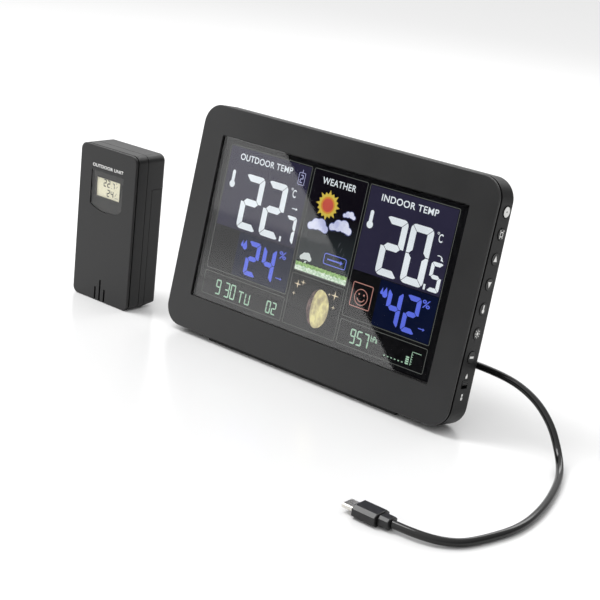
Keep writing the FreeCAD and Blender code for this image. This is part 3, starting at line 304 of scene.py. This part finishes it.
def far_black(name, nearest):
    """Black, but clear to what stands nearer than this, so that the floor beside it does not mirror it."""
    material, tree, shader = new_material(name)
    shader.inputs["Base Color"].default_value = (0.004, 0.004, 0.004, 1.0)
    shader.inputs["Roughness"].default_value = 1.0
    far = tree.nodes.new("ShaderNodeMath")
    far.operation = "GREATER_THAN"
    far.inputs[1].default_value = nearest
    tree.links.new(tree.nodes.new("ShaderNodeLightPath").outputs["Ray Length"], far.inputs[0])
    clear = tree.nodes.new("ShaderNodeBsdfTransparent")
    mix_to_surface(tree, far.outputs["Value"], clear.outputs["BSDF"], shader.outputs["BSDF"])
    return material


def board_finish():
    """Solder mask with the lighter lines of the copper under it."""
    material, tree, shader = new_material("board_green")
    brick = tree.nodes.new("ShaderNodeTexBrick")
    brick.inputs["Scale"].default_value = 160.0
    brick.inputs["Mortar Size"].default_value = 0.03
    brick.inputs["Color1"].default_value = (0.012, 0.13, 0.045, 1.0)
    brick.inputs["Color2"].default_value = (0.016, 0.16, 0.055, 1.0)
    brick.inputs["Mortar"].default_value = (0.03, 0.26, 0.09, 1.0)
    tree.links.new(tree.nodes.new("ShaderNodeTexCoord").outputs["Object"], brick.inputs["Vector"])
    tree.links.new(brick.outputs["Color"], shader.inputs["Base Color"])
    shader.inputs["Roughness"].default_value = 0.3
    return material


def finishes():
    """One material for each of the record's slots. The frame round the LCD is black, whatever its slot
    is called."""
    moulded = dict(grain=2600.0, bump=0.16)
    return {
        "case_plastic": shade("case_plastic", (0.014, 0.014, 0.0143), rough=0.40, gloss=0.45, **moulded),
        "side_plastic": shade("side_plastic", (0.0045, 0.0045, 0.0047), rough=0.42, gloss=0.2, **moulded),
        "button_black": shade("button_black", (0.005, 0.005, 0.005), rough=0.35, gloss=0.3, grain=3500.0),
        "lens_clear": clear_plate("lens_clear"),
        "lcd_glass": shade("lcd_glass", (0.002, 0.002, 0.003), rough=0.45, bump=0.0, gloss=0.05),
        "light_guide": shade("light_guide", (0.85, 0.87, 0.90), rough=0.3),
        "frame_white": shade("frame_black", (0.006, 0.006, 0.006), rough=0.55),
        "board_green": board_finish(),
        "chip_black": shade("chip_black", (0.02, 0.02, 0.02), rough=0.55),
        "metal_nickel": shade("metal_nickel", (0.62, 0.60, 0.56), rough=0.28, metal=1.0, patch=300.0,
                              stretch=(1.0, 6.0, 6.0)),
        "copper_wire": shade("copper_wire", (0.72, 0.42, 0.20), rough=0.35, metal=1.0),
        "film_amber": shade("film_amber", (0.5, 0.22, 0.03), rough=0.25),
        "tongue_white": shade("tongue_white", (0.8, 0.8, 0.8), rough=0.4),
        "screw_steel": shade("screw_steel", (0.20, 0.20, 0.21), rough=0.35, metal=1.0, patch=400.0),
        "rubber_black": shade("rubber_black", (0.02, 0.02, 0.02), rough=0.8, grain=1500.0, bump=0.3),
        "cell_wrap": shade("cell_wrap", (0.35, 0.36, 0.38), rough=0.25, vary=0.25, patch=70.0, bump=0.04),
        "cable_black": shade("cable_black", (0.005, 0.005, 0.005), rough=0.15, gloss=0.38, grain=900.0,
                             bump=0.04),
        "plug_dark": shade("plug_dark", (0.008, 0.008, 0.0083), rough=0.32, gloss=0.38, grain=3000.0),
        "sensor_plastic": shade("sensor_plastic", (0.009, 0.009, 0.0092), rough=0.38, gloss=0.38,
                                **moulded),
        "sensor_lens_smoke": clear_plate("sensor_lens_smoke", (0.95, 0.95, 0.94), gloss=0.06),
        "sensor_lcd_cream": shade("sensor_lcd_cream", (0.90, 0.86, 0.66), rough=0.4, patch=90.0),
    }


def dress(materials):
    """Gives every carried-over piece the finish of its slot."""
    slots = {part["node"]: part["material_slot"] for part in frame["record"]["subparts"]}
    for name, piece in nodes.items():
        finish = materials[slots[name]]
        if not piece.data.materials:
            piece.data.materials.append(finish)
        for index in range(len(piece.data.materials)):
            piece.data.materials[index] = finish


# ---------------------------------------------------------------- drawing on the object's faces

def on_station(x, depth, height):
    """A point of the upright station, leant back into its place."""
    y = (depth - FOOT_SETBACK) * math.cos(LEAN) + height * math.sin(LEAN)
    z = FRONT_LIFT - depth * math.sin(LEAN) + height * math.cos(LEAN)
    return Vector((x, y, z)) * MM


def on_display(depth):
    return lambda u, v: on_station(u, depth, v)


def on_right_side(x):
    """Drawn as seen from the right: u runs back along the case's depth."""
    return lambda u, v: on_station(x, u, v)


def on_sensor(depth):
    return lambda u, v: (SENSOR_PLACE + Vector((u, depth, v))) * MM


def mesh_piece(name, faces):
    mesh = bpy.data.meshes.new(name)
    build = bmesh.new()
    for face in faces:
        build.faces.new([build.verts.new(point) for point in face])
    build.to_mesh(mesh)
    build.free()
    piece = bpy.data.objects.new(name, mesh)
    bpy.context.scene.collection.objects.link(piece)
    return piece


def draw(name, shapes, place, material, body="station"):
    """Flat shapes, each a list of (u, v) corners, on a face of the object."""
    piece = mesh_piece(name, [[place(u, v) for u, v in shape] for shape in shapes])
    piece.data.materials.append(material)
    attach(piece, body)


def rect(left, right, low, high):
    return [(left, low), (right, low), (right, high), (left, high)]


def arc(cu, cv, radius, start, end, steps=10):
    """Points on a circle, with angles in degrees."""
    turns = [math.radians(start + (end - start) * i / steps) for i in range(steps + 1)]
    return [(cu + radius * math.cos(t), cv + radius * math.sin(t)) for t in turns]


def disc(cu, cv, radius, steps=32):
    return arc(cu, cv, radius, 0, 360, steps)[:-1]


def band(outer, inner):
    """Quads between two closed outlines with the same number of corners."""
    count = len(outer)
    return [[outer[i], outer[(i + 1) % count], inner[(i + 1) % count], inner[i]] for i in range(count)]


def round_rect(left, right, low, high, r, steps=4):
    corners = ((right - r, high - r, 0), (left + r, high - r, 90), (left + r, low + r, 180),
               (right - r, low + r, 270))
    return [point for cu, cv, turn in corners for point in arc(cu, cv, r, turn, turn + 90, steps)]


def outline(left, right, low, high, line, r):
    """A line of the given width, just inside a rectangle with round corners."""
    return band(round_rect(left, right, low, high, r),
                round_rect(left + line, right - line, low + line, high - line, max(0.1, r - line)))


def ring(cu, cv, radius, line, steps=32):
    return band(disc(cu, cv, radius, steps), disc(cu, cv, radius - line, steps))


def stroke(points, width):
    """A polyline of straight bars."""
    shapes = []
    for (u0, v0), (u1, v1) in zip(points, points[1:]):
        along = Vector((u1 - u0, v1 - v0)).normalized() * (width / 2)
        nu, nv = -along.y, along.x
        shapes.append([(u0 - nu, v0 - nv), (u1 - nu, v1 - nv), (u1 + nu, v1 + nv), (u0 + nu, v0 + nv)])
    return shapes


# The bars that each sign lights, named as on any seven-bar display.
SEGMENTS = {"0": "abcdef", "1": "bc", "2": "abged", "3": "abgcd", "4": "fgbc", "5": "afgcd",
            "6": "afgedc", "7": "abc", "8": "abcdefg", "9": "abcdfg", "U": "bcdef"}
CORNER_PER_BAR = 0.75
MITRE_SPREAD = 1.4


def digit(sign, left, low, wide, high, bar, gap=0.3):
    """A seven-bar figure with round outer corners and mitred bars."""
    r = bar * CORNER_PER_BAR
    half = high / 2
    cut = gap / 2 * MITRE_SPREAD
    corner = arc(r, r, r, 225, 270, 4)
    top = [(u + cut, high - v) for u, v in corner]
    top += [(wide - u, v) for u, v in reversed(top)]
    top += [(wide - bar - cut, high - bar), (bar + cut, high - bar)]
    side = [(v, high - u - cut) for u, v in corner]
    side += [(0, half + cut), (bar * 0.5, half + cut), (bar, half + bar * 0.5 + cut), (bar, high - bar - cut)]
    middle = [(bar * 0.5 + cut, half), (bar + cut, half + bar * 0.5), (wide - bar - cut, half + bar * 0.5),
              (wide - bar * 0.5 - cut, half), (wide - bar - cut, half - bar * 0.5),
              (bar + cut, half - bar * 0.5)]
    shapes = {"a": top, "f": side, "g": middle}
    shapes["d"] = [(u, high - v) for u, v in top]
    shapes["b"] = [(wide - u, v) for u, v in side]
    shapes["e"] = [(u, high - v) for u, v in side]
    shapes["c"] = [(wide - u, high - v) for u, v in side]
    return [[(left + u, low + v) for u, v in shapes[bar_name]] for bar_name in SEGMENTS[sign]]


def figures(text, left, low, wide, high, bar, pitch, gap=0.3):
    shapes = []
    for index, sign in enumerate(text):
        shapes += digit(sign, left + index * pitch, low, wide, high, bar, gap)
    return shapes


LETTER_SPACING = 1.06
LETTER_WEIGHT = 0.014


def lettering(name, text, left, right, low, high, place, material, body="station"):
    """Plain lettering fitted into a box."""
    curve = bpy.data.curves.new(name + "_curve", "FONT")
    curve.body = text
    curve.space_character = LETTER_SPACING
    curve.offset = LETTER_WEIGHT
    written = bpy.data.objects.new(name + "_curve", curve)
    bpy.context.scene.collection.objects.link(written)
    bpy.context.view_layer.update()
    mesh = bpy.data.meshes.new_from_object(written.evaluated_get(bpy.context.evaluated_depsgraph_get()))
    bpy.data.objects.remove(written)
    us = [vertex.co.x for vertex in mesh.vertices]
    vs = [vertex.co.y for vertex in mesh.vertices]
    for vertex in mesh.vertices:
        u = left + (vertex.co.x - min(us)) / (max(us) - min(us)) * (right - left)
        v = low + (vertex.co.y - min(vs)) / (max(vs) - min(vs)) * (high - low)
        vertex.co = place(u, v)
    mesh.name = name
    mesh.materials.clear()
    mesh.materials.append(material)
    piece = bpy.data.objects.new(name, mesh)
    bpy.context.scene.collection.objects.link(piece)
    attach(piece, body)


def thermometer(cu, low, high, bulb, stem):
    """A round bulb and a round-topped stem in one outline; bulb and stem are radii."""
    half = math.degrees(math.asin(stem / bulb))
    return [arc(cu, low + bulb, bulb, 90 + half, 450 - half, 20) + arc(cu, high - stem, stem, 0, 180, 10)]


def drop(cu, low, high, r):
    return arc(cu, low + r, r, 150, 390, 14) + [(cu + r * 0.25, high)]


def arrow(left, right, v, line, head):
    return [rect(left, right - head, v - line / 2, v + line / 2),
            [(right - head * 1.5, v - head), (right, v), (right - head * 1.5, v + head)]]


# ---------------------------------------------------------------- the cord

CORD_POINTS = ((98, 22.3, 32.7), (117, 22.3, 32.7), (137, 20.5, 27.8), (151, 17.5, 18.3), (160, 13, 7.5),
               (169, 2, 2.2), (178, -17.5, 2), (186.5, -44, 2), (190.5, -70, 2), (186.5, -92, 2),
               (181, -108, 2.2), (167, -117, 3.3), (152.5, -117, 3.3))
CORD_DIAMETER = 0.004


def charging_cord(material):
    curve = bpy.data.curves.new("charging_cord", "CURVE")
    curve.dimensions = "3D"
    curve.bevel_depth = CORD_DIAMETER / 2
    curve.bevel_resolution = 8
    curve.use_fill_caps = True
    spline = curve.splines.new("NURBS")
    spline.points.add(len(CORD_POINTS) - 1)
    for point, place in zip(spline.points, CORD_POINTS):
        point.co = (*(Vector(place) * MM), 1.0)
    spline.order_u = 3
    spline.use_endpoint_u = True
    spline.resolution_u = 16
    cord = bpy.data.objects.new("charging_cord", curve)
    bpy.context.scene.collection.objects.link(cord)
    curve.materials.append(material)
    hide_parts("charging_cable")
    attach(cord, "charging_lead")


# ---------------------------------------------------------------- the display's fields and figures

# Layers in front of the LCD, by their depth behind the front of the case. On the display, u runs from
# the middle to the right and v up from the bottom of the case.
LCD_GROUND = on_display(2.285)
LCD_FACE = on_display(2.27)
LCD_MIDDLE = on_display(2.262)
LCD_UPPER = on_display(2.254)

# The three columns of fields: left, right, top of the lower field and bottom of the upper field.
COLUMNS = ((-81.8, -18.9, 38.2, 39.9), (-17.3, 21.0, 54.0, 55.3), (22.5, 82.2, 38.2, 39.9))
FIELDS_LOW, FIELDS_HIGH = 24.1, 114.5
FIELD_LINE = 0.34

# Where the figures of each field stand.
TEMPERATURE_LOW = 68.0
HUMIDITY_LOW = 42.7
CALENDAR_LOW = 25.9
PRESSURE_LOW = 26.6


def display_fields():
    """Tinted grounds of the display's fields, and the thin lines round them."""
    draw("field_violet", [rect(-81, -19.6, 66.6, 113.8), rect(23.2, 81.4, 66.6, 113.8)], LCD_GROUND,
         glow("lcd_violet", (0.024, 0.022, 0.048)))
    draw("field_navy", [rect(-61.6, -19.6, 40.6, 66.2), rect(43, 81.4, 40.6, 66.2)], LCD_GROUND,
         glow("lcd_navy", (0.003, 0.006, 0.026)))
    lines = []
    for left, right, lower_top, upper_low in COLUMNS:
        lines += outline(left, right, upper_low, FIELDS_HIGH, FIELD_LINE, r=1.0)
        lines += outline(left, right, FIELDS_LOW, lower_top, FIELD_LINE, r=1.0)
    draw("field_lines", lines, LCD_FACE, glow("lcd_line", (0.11, 0.12, 0.11)))


def temperature_figures(white):
    """The outdoor and indoor temperatures with their thermometers and trend arrows."""
    low = TEMPERATURE_LOW
    shapes = figures("22", -65.9, low, 15.4, 32.2, 3.9, pitch=17.6)
    shapes += digit("7", -30.1, low, 8.0, 16.0, 2.2, gap=0.2) + [rect(-32.2, -30.8, low, low + 3.0)]
    shapes += figures("20", 37.6, low, 15.0, 32.4, 3.9, pitch=16.9)
    shapes += digit("5", 72.1, low, 7.9, 16.0, 2.2, gap=0.2) + [rect(70.1, 71.4, low, low + 3.0)]
    shapes += thermometer(-75.3, 89.8, 100.2, 2.1, 1.15) + thermometer(27.6, 90.6, 100.7, 2.1, 1.15)
    shapes += arrow(-27.5, -23.3, 88.4, 0.5, 0.9)
    shapes += stroke(arc(75.6, 84.6, 3.0, 110, 40, 6), 0.5) + [[(77.0, 87.4), (79.0, 85.0), (77.1, 85.3)]]
    draw("figures_white", shapes, LCD_FACE, white)
    for side, left in (("outdoor", -30.7), ("indoor", 71.4)):
        draw(f"degree_{side}", ring(left + 0.7, 99.0, 0.7, 0.3, 14), LCD_FACE, white)
        lettering(f"celsius_{side}", "C", left + 1.4, left + 4.0, 94.4, 99.0, LCD_FACE, white)


def headings(white):
    lettering("heading_outdoor", "OUTDOOR TEMP", -72.9, -32.6, 106.9, 110.7, LCD_FACE, white)
    lettering("heading_weather", "WEATHER", -10.2, 13.7, 107.0, 110.8, LCD_FACE, white)
    lettering("heading_indoor", "INDOOR TEMP", 31.6, 69.4, 107.0, 110.8, LCD_FACE, white)


def humidity_figures():
    """The outdoor and indoor humidities with their drops, arrows and percent signs."""
    blue = glow("lcd_blue", (0.115, 0.165, 0.78))
    wide, high, bar = 9.9, 20.4, 2.8
    shapes = figures("24", -53.5, HUMIDITY_LOW, wide, high, bar, pitch=12.3)
    shapes += figures("42", 49.7, HUMIDITY_LOW, wide, high, bar, pitch=12.0)
    for left in (-59.1, 44.2):
        shapes += [drop(left + 3.3, 56.9, 62.8, 1.7), drop(left + 1.0, 58.2, 62.2, 0.95)]
    shapes += arrow(-28.8, -24.1, 47.2, 0.5, 0.9) + arrow(73.0, 77.3, 47.2, 0.5, 0.9)
    draw("figures_blue", shapes, LCD_FACE, blue)
    lettering("percent_outdoor", "%", -29.5, -24.1, 58.6, 63.0, LCD_FACE, blue)
    lettering("percent_indoor", "%", 72.1, 77.3, 58.6, 63.0, LCD_FACE, blue)


def channel_and_tendency():
    """The outdoor sensor's channel, in a box with an aerial, and the box with the tendency's arrow."""
    shapes = outline(-27.6, -22.8, 102.4, 109.6, 0.35, r=0.7) + digit("2", -26.3, 103.7, 2.2, 4.6, 0.55, 0.1)
    shapes += [rect(-25.4, -25.0, 109.6, 111.2)]
    draw("channel_sign", shapes, LCD_FACE, glow("lcd_lilac", (0.45, 0.47, 0.72)))
    shapes = outline(2.0, 18.0, 63.9, 70.3, 0.5, r=1.4) + arrow(4.6, 15.8, 67.1, 0.8, 1.3)
    draw("tendency_sign", shapes, LCD_FACE, glow("lcd_ultramarine", (0.17, 0.22, 0.78)))


def calendar():
    """Date, day letters and month. The T is two plain bars."""
    low = CALENDAR_LOW
    gap = 0.12
    shapes = digit("9", -71.4, low, 3.9, 8.9, 0.8, gap) + figures("30", -64.4, low, 3.9, 8.9, 0.8, 4.7, gap)
    shapes += [rect(-53.1, -49.3, low + 6.0, low + 6.8), rect(-51.6, -50.8, low, low + 5.8)]
    shapes += digit("U", -47.8, low, 3.8, 6.8, 0.75, gap)
    shapes += figures("02", -31.1, low, 3.4, 7.3, 0.75, 4.2, gap)
    return shapes


def pressure():
    """The pressure's figures and, beside them, the bar graph of its last hours."""
    low = PRESSURE_LOW
    shapes = figures("957", 31.1, low, 3.7, 8.2, 0.8, 4.6, 0.12)
    shapes += [rect(55.4 + 2.4 * i, 56.4 + 2.4 * i, low, low + 0.6) for i in range(6)]
    shapes += [rect(69.8, 71.9, low + 1.15 * i, low + 0.8 + 1.15 * i) for i in range(4)]
    shapes += [rect(73.0, 73.3, low, 34.2), rect(73.6, 79.0, 33.95, 34.25)]
    shapes += [rect(73.35, 74.0, 27.2 + 1.3 * i, 27.5 + 1.3 * i) for i in range(5)]
    return shapes


def display_figures():
    white = glow("lcd_white", (0.80, 0.86, 0.90))
    temperature_figures(white)
    headings(white)
    humidity_figures()
    channel_and_tendency()
    green = glow("lcd_green", (0.40, 0.62, 0.46))
    draw("figures_green", calendar() + pressure(), LCD_FACE, green)
    lettering("pressure_unit", "hPa", 45.0, 49.6, 31.4, 34.6, LCD_FACE, green)


# ---------------------------------------------------------------- the display's pictures

# Puffs of a cloud: centre across and up, and radius, as shares of its width, height and height.
PUFFS = ((0.17, 0.30, 0.30), (0.40, 0.50, 0.42), (0.63, 0.56, 0.44), (0.84, 0.31, 0.30))
CLOUD_POINTS = 56

SUN_CENTRE = (-3.1, 96.0)
SUN_RAYS = 16

# The ground's left and right ends, and the steps along its ragged edges.
GROUND_LEFT, GROUND_RIGHT = -16.7, 20.5
GROUND_STEPS = 62

# The moon reaches further up than across.
MOON_CENTRE = (5.3, 38.4)
MOON_RADII = (7.7, 11.1)

# Centre and reach of each star, across and up.
STARS = ((-11.9, 48.2, 2.6), (-8.3, 50.0, 1.9), (-13.4, 42.5, 1.3), (15.2, 48.7, 2.8), (11.3, 48.4, 1.2),
         (15.8, 42.0, 1.4))


def cloud(left, right, low, high, inset=0.0):
    """The outline of four overlapping puffs with a flat bottom, moved inwards by inset."""
    wide, tall = right - left, high - low
    puffs = [(left + a * wide, low + b * tall, r * tall - inset) for a, b, r in PUFFS]
    cu, cv = left + wide / 2, low + tall * 0.34
    points = []
    for step in range(CLOUD_POINTS):
        turn = 2 * math.pi * step / CLOUD_POINTS
        du, dv = math.cos(turn), math.sin(turn)
        reach = 0.0
        for u, v, r in puffs:
            along = (u - cu) * du + (v - cv) * dv
            across = (u - cu) ** 2 + (v - cv) ** 2 - along ** 2
            if across < r * r:
                reach = max(reach, along + math.sqrt(r * r - across))
        points.append((cu + reach * du, max(low + inset, cv + reach * dv)))
    return points


def sun():
    """A red core in an orange and a yellow ring, with long and short rays by turns."""
    cu, cv = SUN_CENTRE
    rays = []
    for step in range(SUN_RAYS):
        turn = 2 * math.pi * step / SUN_RAYS
        reach = 8.6 if step % 2 == 0 else 7.4
        tip = (cu + reach * math.cos(turn), cv + reach * math.sin(turn))
        sides = [(cu + 6.35 * math.cos(turn + d), cv + 6.35 * math.sin(turn + d)) for d in (-0.15, 0.15)]
        rays.append([sides[0], tip, sides[1]])
    draw("sun_rays", rays + ring(cu, cv, 6.3, 1.5, 40), LCD_FACE, glow("lcd_yellow", (0.66, 0.50, 0.08)))
    draw("sun_glow", ring(cu, cv, 4.8, 1.0, 40), LCD_FACE, glow("lcd_orange", (0.66, 0.26, 0.05)))
    draw("sun_core", [disc(cu, cv, 3.8)], LCD_FACE, glow("lcd_red", (0.60, 0.10, 0.07), vary=0.2))


def clouds_and_rain():
    """Three white clouds with lavender hollows and dark edges, and faint slanting rain under them."""
    clouds = [(-14.6, 0.9, 79.9, 88.1), (0.2, 17.3, 82.7, 90.9), (8.1, 17.8, 91.9, 96.6)]
    draw("cloud_edges", [cloud(*box) for box in clouds], LCD_MIDDLE,
         glow("lcd_cloud_edge", (0.10, 0.12, 0.30)))
    draw("clouds", [cloud(*box, inset=0.32) for box in clouds], LCD_UPPER, mottled(
        "lcd_cloud", (0.50, 0.53, 0.78), (0.74, 0.77, 0.92), scale=170.0))
    rain = []
    for i, u in enumerate(range(-13, 19, 2)):
        fall = 2.6 * (i % 4)
        rain += stroke([(u, 78.0 - fall), (u - 0.9, 75.2 - fall)], 0.26)
    draw("rain", rain, LCD_FACE, glow("lcd_rain", (0.085, 0.095, 0.11)))


def ground_and_tree():
    """Ragged grass over pale frost, and a small round tree."""
    pitch = (GROUND_RIGHT - GROUND_LEFT) / GROUND_STEPS
    edge = [(GROUND_RIGHT - pitch * i, 60.8 + 0.35 * math.sin(2.3 * i) + 0.2 * math.sin(5.1 * i))
            for i in range(GROUND_STEPS + 1)]
    seam = [(u, 58.7 + 0.3 * math.sin(1.7 * u)) for u, v in edge]
    draw("grass", [seam[::-1] + edge], LCD_FACE, mottled("lcd_grass", (0.16, 0.34, 0.09), (0.42, 0.62, 0.26)))
    draw("frost", [[(GROUND_LEFT, 55.9), (GROUND_RIGHT, 55.9)] + seam], LCD_FACE,
         mottled("lcd_frost", (0.42, 0.60, 0.40), (0.80, 0.90, 0.78)))
    trunk = [(-11.2, 60.9), (-10.0, 60.9), (-9.2, 62.1), (-10.4, 62.1)]
    draw("tree", [cloud(-14.8, -6.3, 62.2, 67.0), trunk], LCD_UPPER, glow("lcd_tree", (0.66, 0.72, 0.70)))


def moon():
    """A gibbous moon: a large lit part with craters, and a thin dark part to its left."""
    cu, cv = MOON_CENTRE
    wide, high = MOON_RADII

    def meridian(reach):
        """From the top of the moon to its bottom, bulging by reach."""
        turns = [math.radians(a) for a in range(0, 181, 10)]
        return [(cu + reach * math.sin(t), cv + high * math.cos(t)) for t in turns]

    border = meridian(-4.9)
    draw("moon", [meridian(wide) + border[-2:0:-1]], LCD_FACE, mottled(
        "lcd_moon", (0.40, 0.34, 0.20), (0.78, 0.72, 0.34), scale=230.0, stretch=(1.3, 1.0, 0.7)))
    draw("moon_shade", [border + meridian(-wide)[-2:0:-1]], LCD_FACE, mottled(
        "lcd_moon_shade", (0.05, 0.035, 0.035), (0.20, 0.13, 0.12), scale=260.0))


def stars():
    """Four-pointed stars."""
    shapes = []
    for u, v, reach in STARS:
        near = reach * 0.15
        shapes.append([(u + reach, v), (u + near, v + near), (u, v + reach), (u - near, v + near),
                       (u - reach, v), (u - near, v - near), (u, v - reach), (u + near, v - near)])
    draw("stars", shapes, LCD_FACE, glow("lcd_star", (0.66, 0.58, 0.40)))


def comfort_sign():
    """A plain smiling face in a box."""
    shapes = outline(25.7, 39.6, 46.7, 60.4, 0.45, r=0.9) + ring(32.6, 52.8, 4.6, 0.42)
    shapes += [disc(31.0, 54.3, 0.55, 12), disc(34.3, 54.3, 0.55, 12)]
    shapes += band(arc(32.6, 53.0, 2.9, 200, 340, 12), arc(32.6, 53.0, 2.4, 200, 340, 12))[:-1]
    draw("comfort_sign", shapes, LCD_FACE, glow("lcd_rose", (0.50, 0.25, 0.21)))


def display_pictures():
    draw("sky", [rect(-17.0, 20.7, 61.4, 114.2)], LCD_GROUND, sky_light())
    sun()
    clouds_and_rain()
    ground_and_tree()
    moon()
    stars()
    comfort_sign()


# ---------------------------------------------------------------- prints on the case and the sensor

CASE_SIDE = 104.5
CAP_STANDOUT = 0.3
PRINT_LIFT = 0.02
SIGN_DEPTH = 9.5
BUTTON_HEIGHTS = {"light": 118.6, "alarm": 106.8, "up": 93.6, "down": 80.0, "temperature": 66.8,
                  "brightness": 53.4, "memory": 40.5}


def light_sign(u, v):
    return band(disc(u, v, 2.8), disc(u, v, 0.45))


def alarm_sign(u, v):
    """A square clock with two bells and two feet."""
    shapes = outline(u - 1.5, u + 1.5, v - 1.5, v + 1.3, 0.5, r=0.6)
    for side in (-1, 1):
        shapes.append(rect(u + 1.55 * side - 0.35, u + 1.55 * side + 0.35, v + 1.5, v + 2.2))
    for side in (-1, 1):
        shapes.append(rect(u + 1.35 * side - 0.25, u + 1.35 * side + 0.25, v - 2.3, v - 1.6))
    return shapes


def up_sign(u, v):
    return [[(u - 1.7, v - 1.4), (u + 1.7, v - 1.4), (u, v + 2.0)]]


def down_sign(u, v):
    return [[(u - 1.7, v + 1.4), (u, v - 2.0), (u + 1.7, v + 1.4)]]


def temperature_sign(u, v):
    return thermometer(u, v - 2.3, v + 2.3, 1.15, 0.6)


def brightness_sign(u, v):
    """A disc with eight rays."""
    shapes = [disc(u, v, 0.9, 20)]
    for step in range(8):
        turn = math.radians(45 * step)
        shapes += stroke([(u + r * math.cos(turn), v + r * math.sin(turn)) for r in (1.3, 2.3)], 0.45)
    return shapes


def memory_sign(u, v):
    return [rect(u - 1.9, u + 1.9, v - 0.6, v + 0.6)]


BUTTON_SIGNS = {"light": light_sign, "alarm": alarm_sign, "up": up_sign, "down": down_sign,
                "temperature": temperature_sign, "brightness": brightness_sign, "memory": memory_sign}


def side_prints(white):
    """White signs printed on the button caps, and the marks beside the slide switch."""
    cap_face = on_right_side(CASE_SIDE + CAP_STANDOUT + PRINT_LIFT)
    for name, sign in BUTTON_SIGNS.items():
        draw("sign_" + name, sign(SIGN_DEPTH, BUTTON_HEIGHTS[name]), cap_face, white,
             body="button_" + name)
    marks = [drop(SIGN_DEPTH, 28.7, 31.6, 1.0), disc(SIGN_DEPTH, 19.6, 0.8, 18),
             disc(SIGN_DEPTH, 17.7, 0.95, 18)]
    draw("switch_marks", marks, on_right_side(CASE_SIDE + PRINT_LIFT), white)


def sensor_prints(white):
    """The line above the sensor's window, and the figures on its small display."""
    lettering("sensor_word", "OUTDOOR UNIT", -13.6, 14.0, 84.9, 86.9, on_sensor(-0.01), white,
              body="outdoor_sensor")
    ink = shade("lcd_ink", (0.012, 0.013, 0.012), rough=0.6, gloss=0.2)
    low = 73.4
    shapes = figures("22", -5.0, low, 2.6, 4.7, 0.68, 3.3, 0.08) + digit("7", 3.0, low, 1.9, 3.6, 0.52, 0.06)
    shapes += [rect(2.0, 2.4, low, low + 0.4)] + figures("24", -1.6, 67.6, 2.6, 4.5, 0.68, 3.3, 0.08)
    shapes += ring(6.5, 77.2, 0.4, 0.15, 12) + stroke([(6.4, 74.6), (7.6, 75.8)], 0.25)
    shapes += stroke([(5.6, 69.0), (7.0, 71.2)], 0.25) + arrow(5.8, 8.4, 68.2, 0.25, 0.4)
    draw("sensor_figures", shapes, on_sensor(2.08), ink, body="outdoor_sensor")


# ---------------------------------------------------------------- the scene

materials = finishes()
place_camera()
charging_cord(materials["cable_black"])
studio()
dress(materials)
display_fields()
display_figures()
display_pictures()
print_white = shade("print_white", (0.78, 0.78, 0.76), rough=0.6, vary=0.05, bump=0.05)
side_prints(print_white)
sensor_prints(print_white)

bpy.context.view_layer.update()
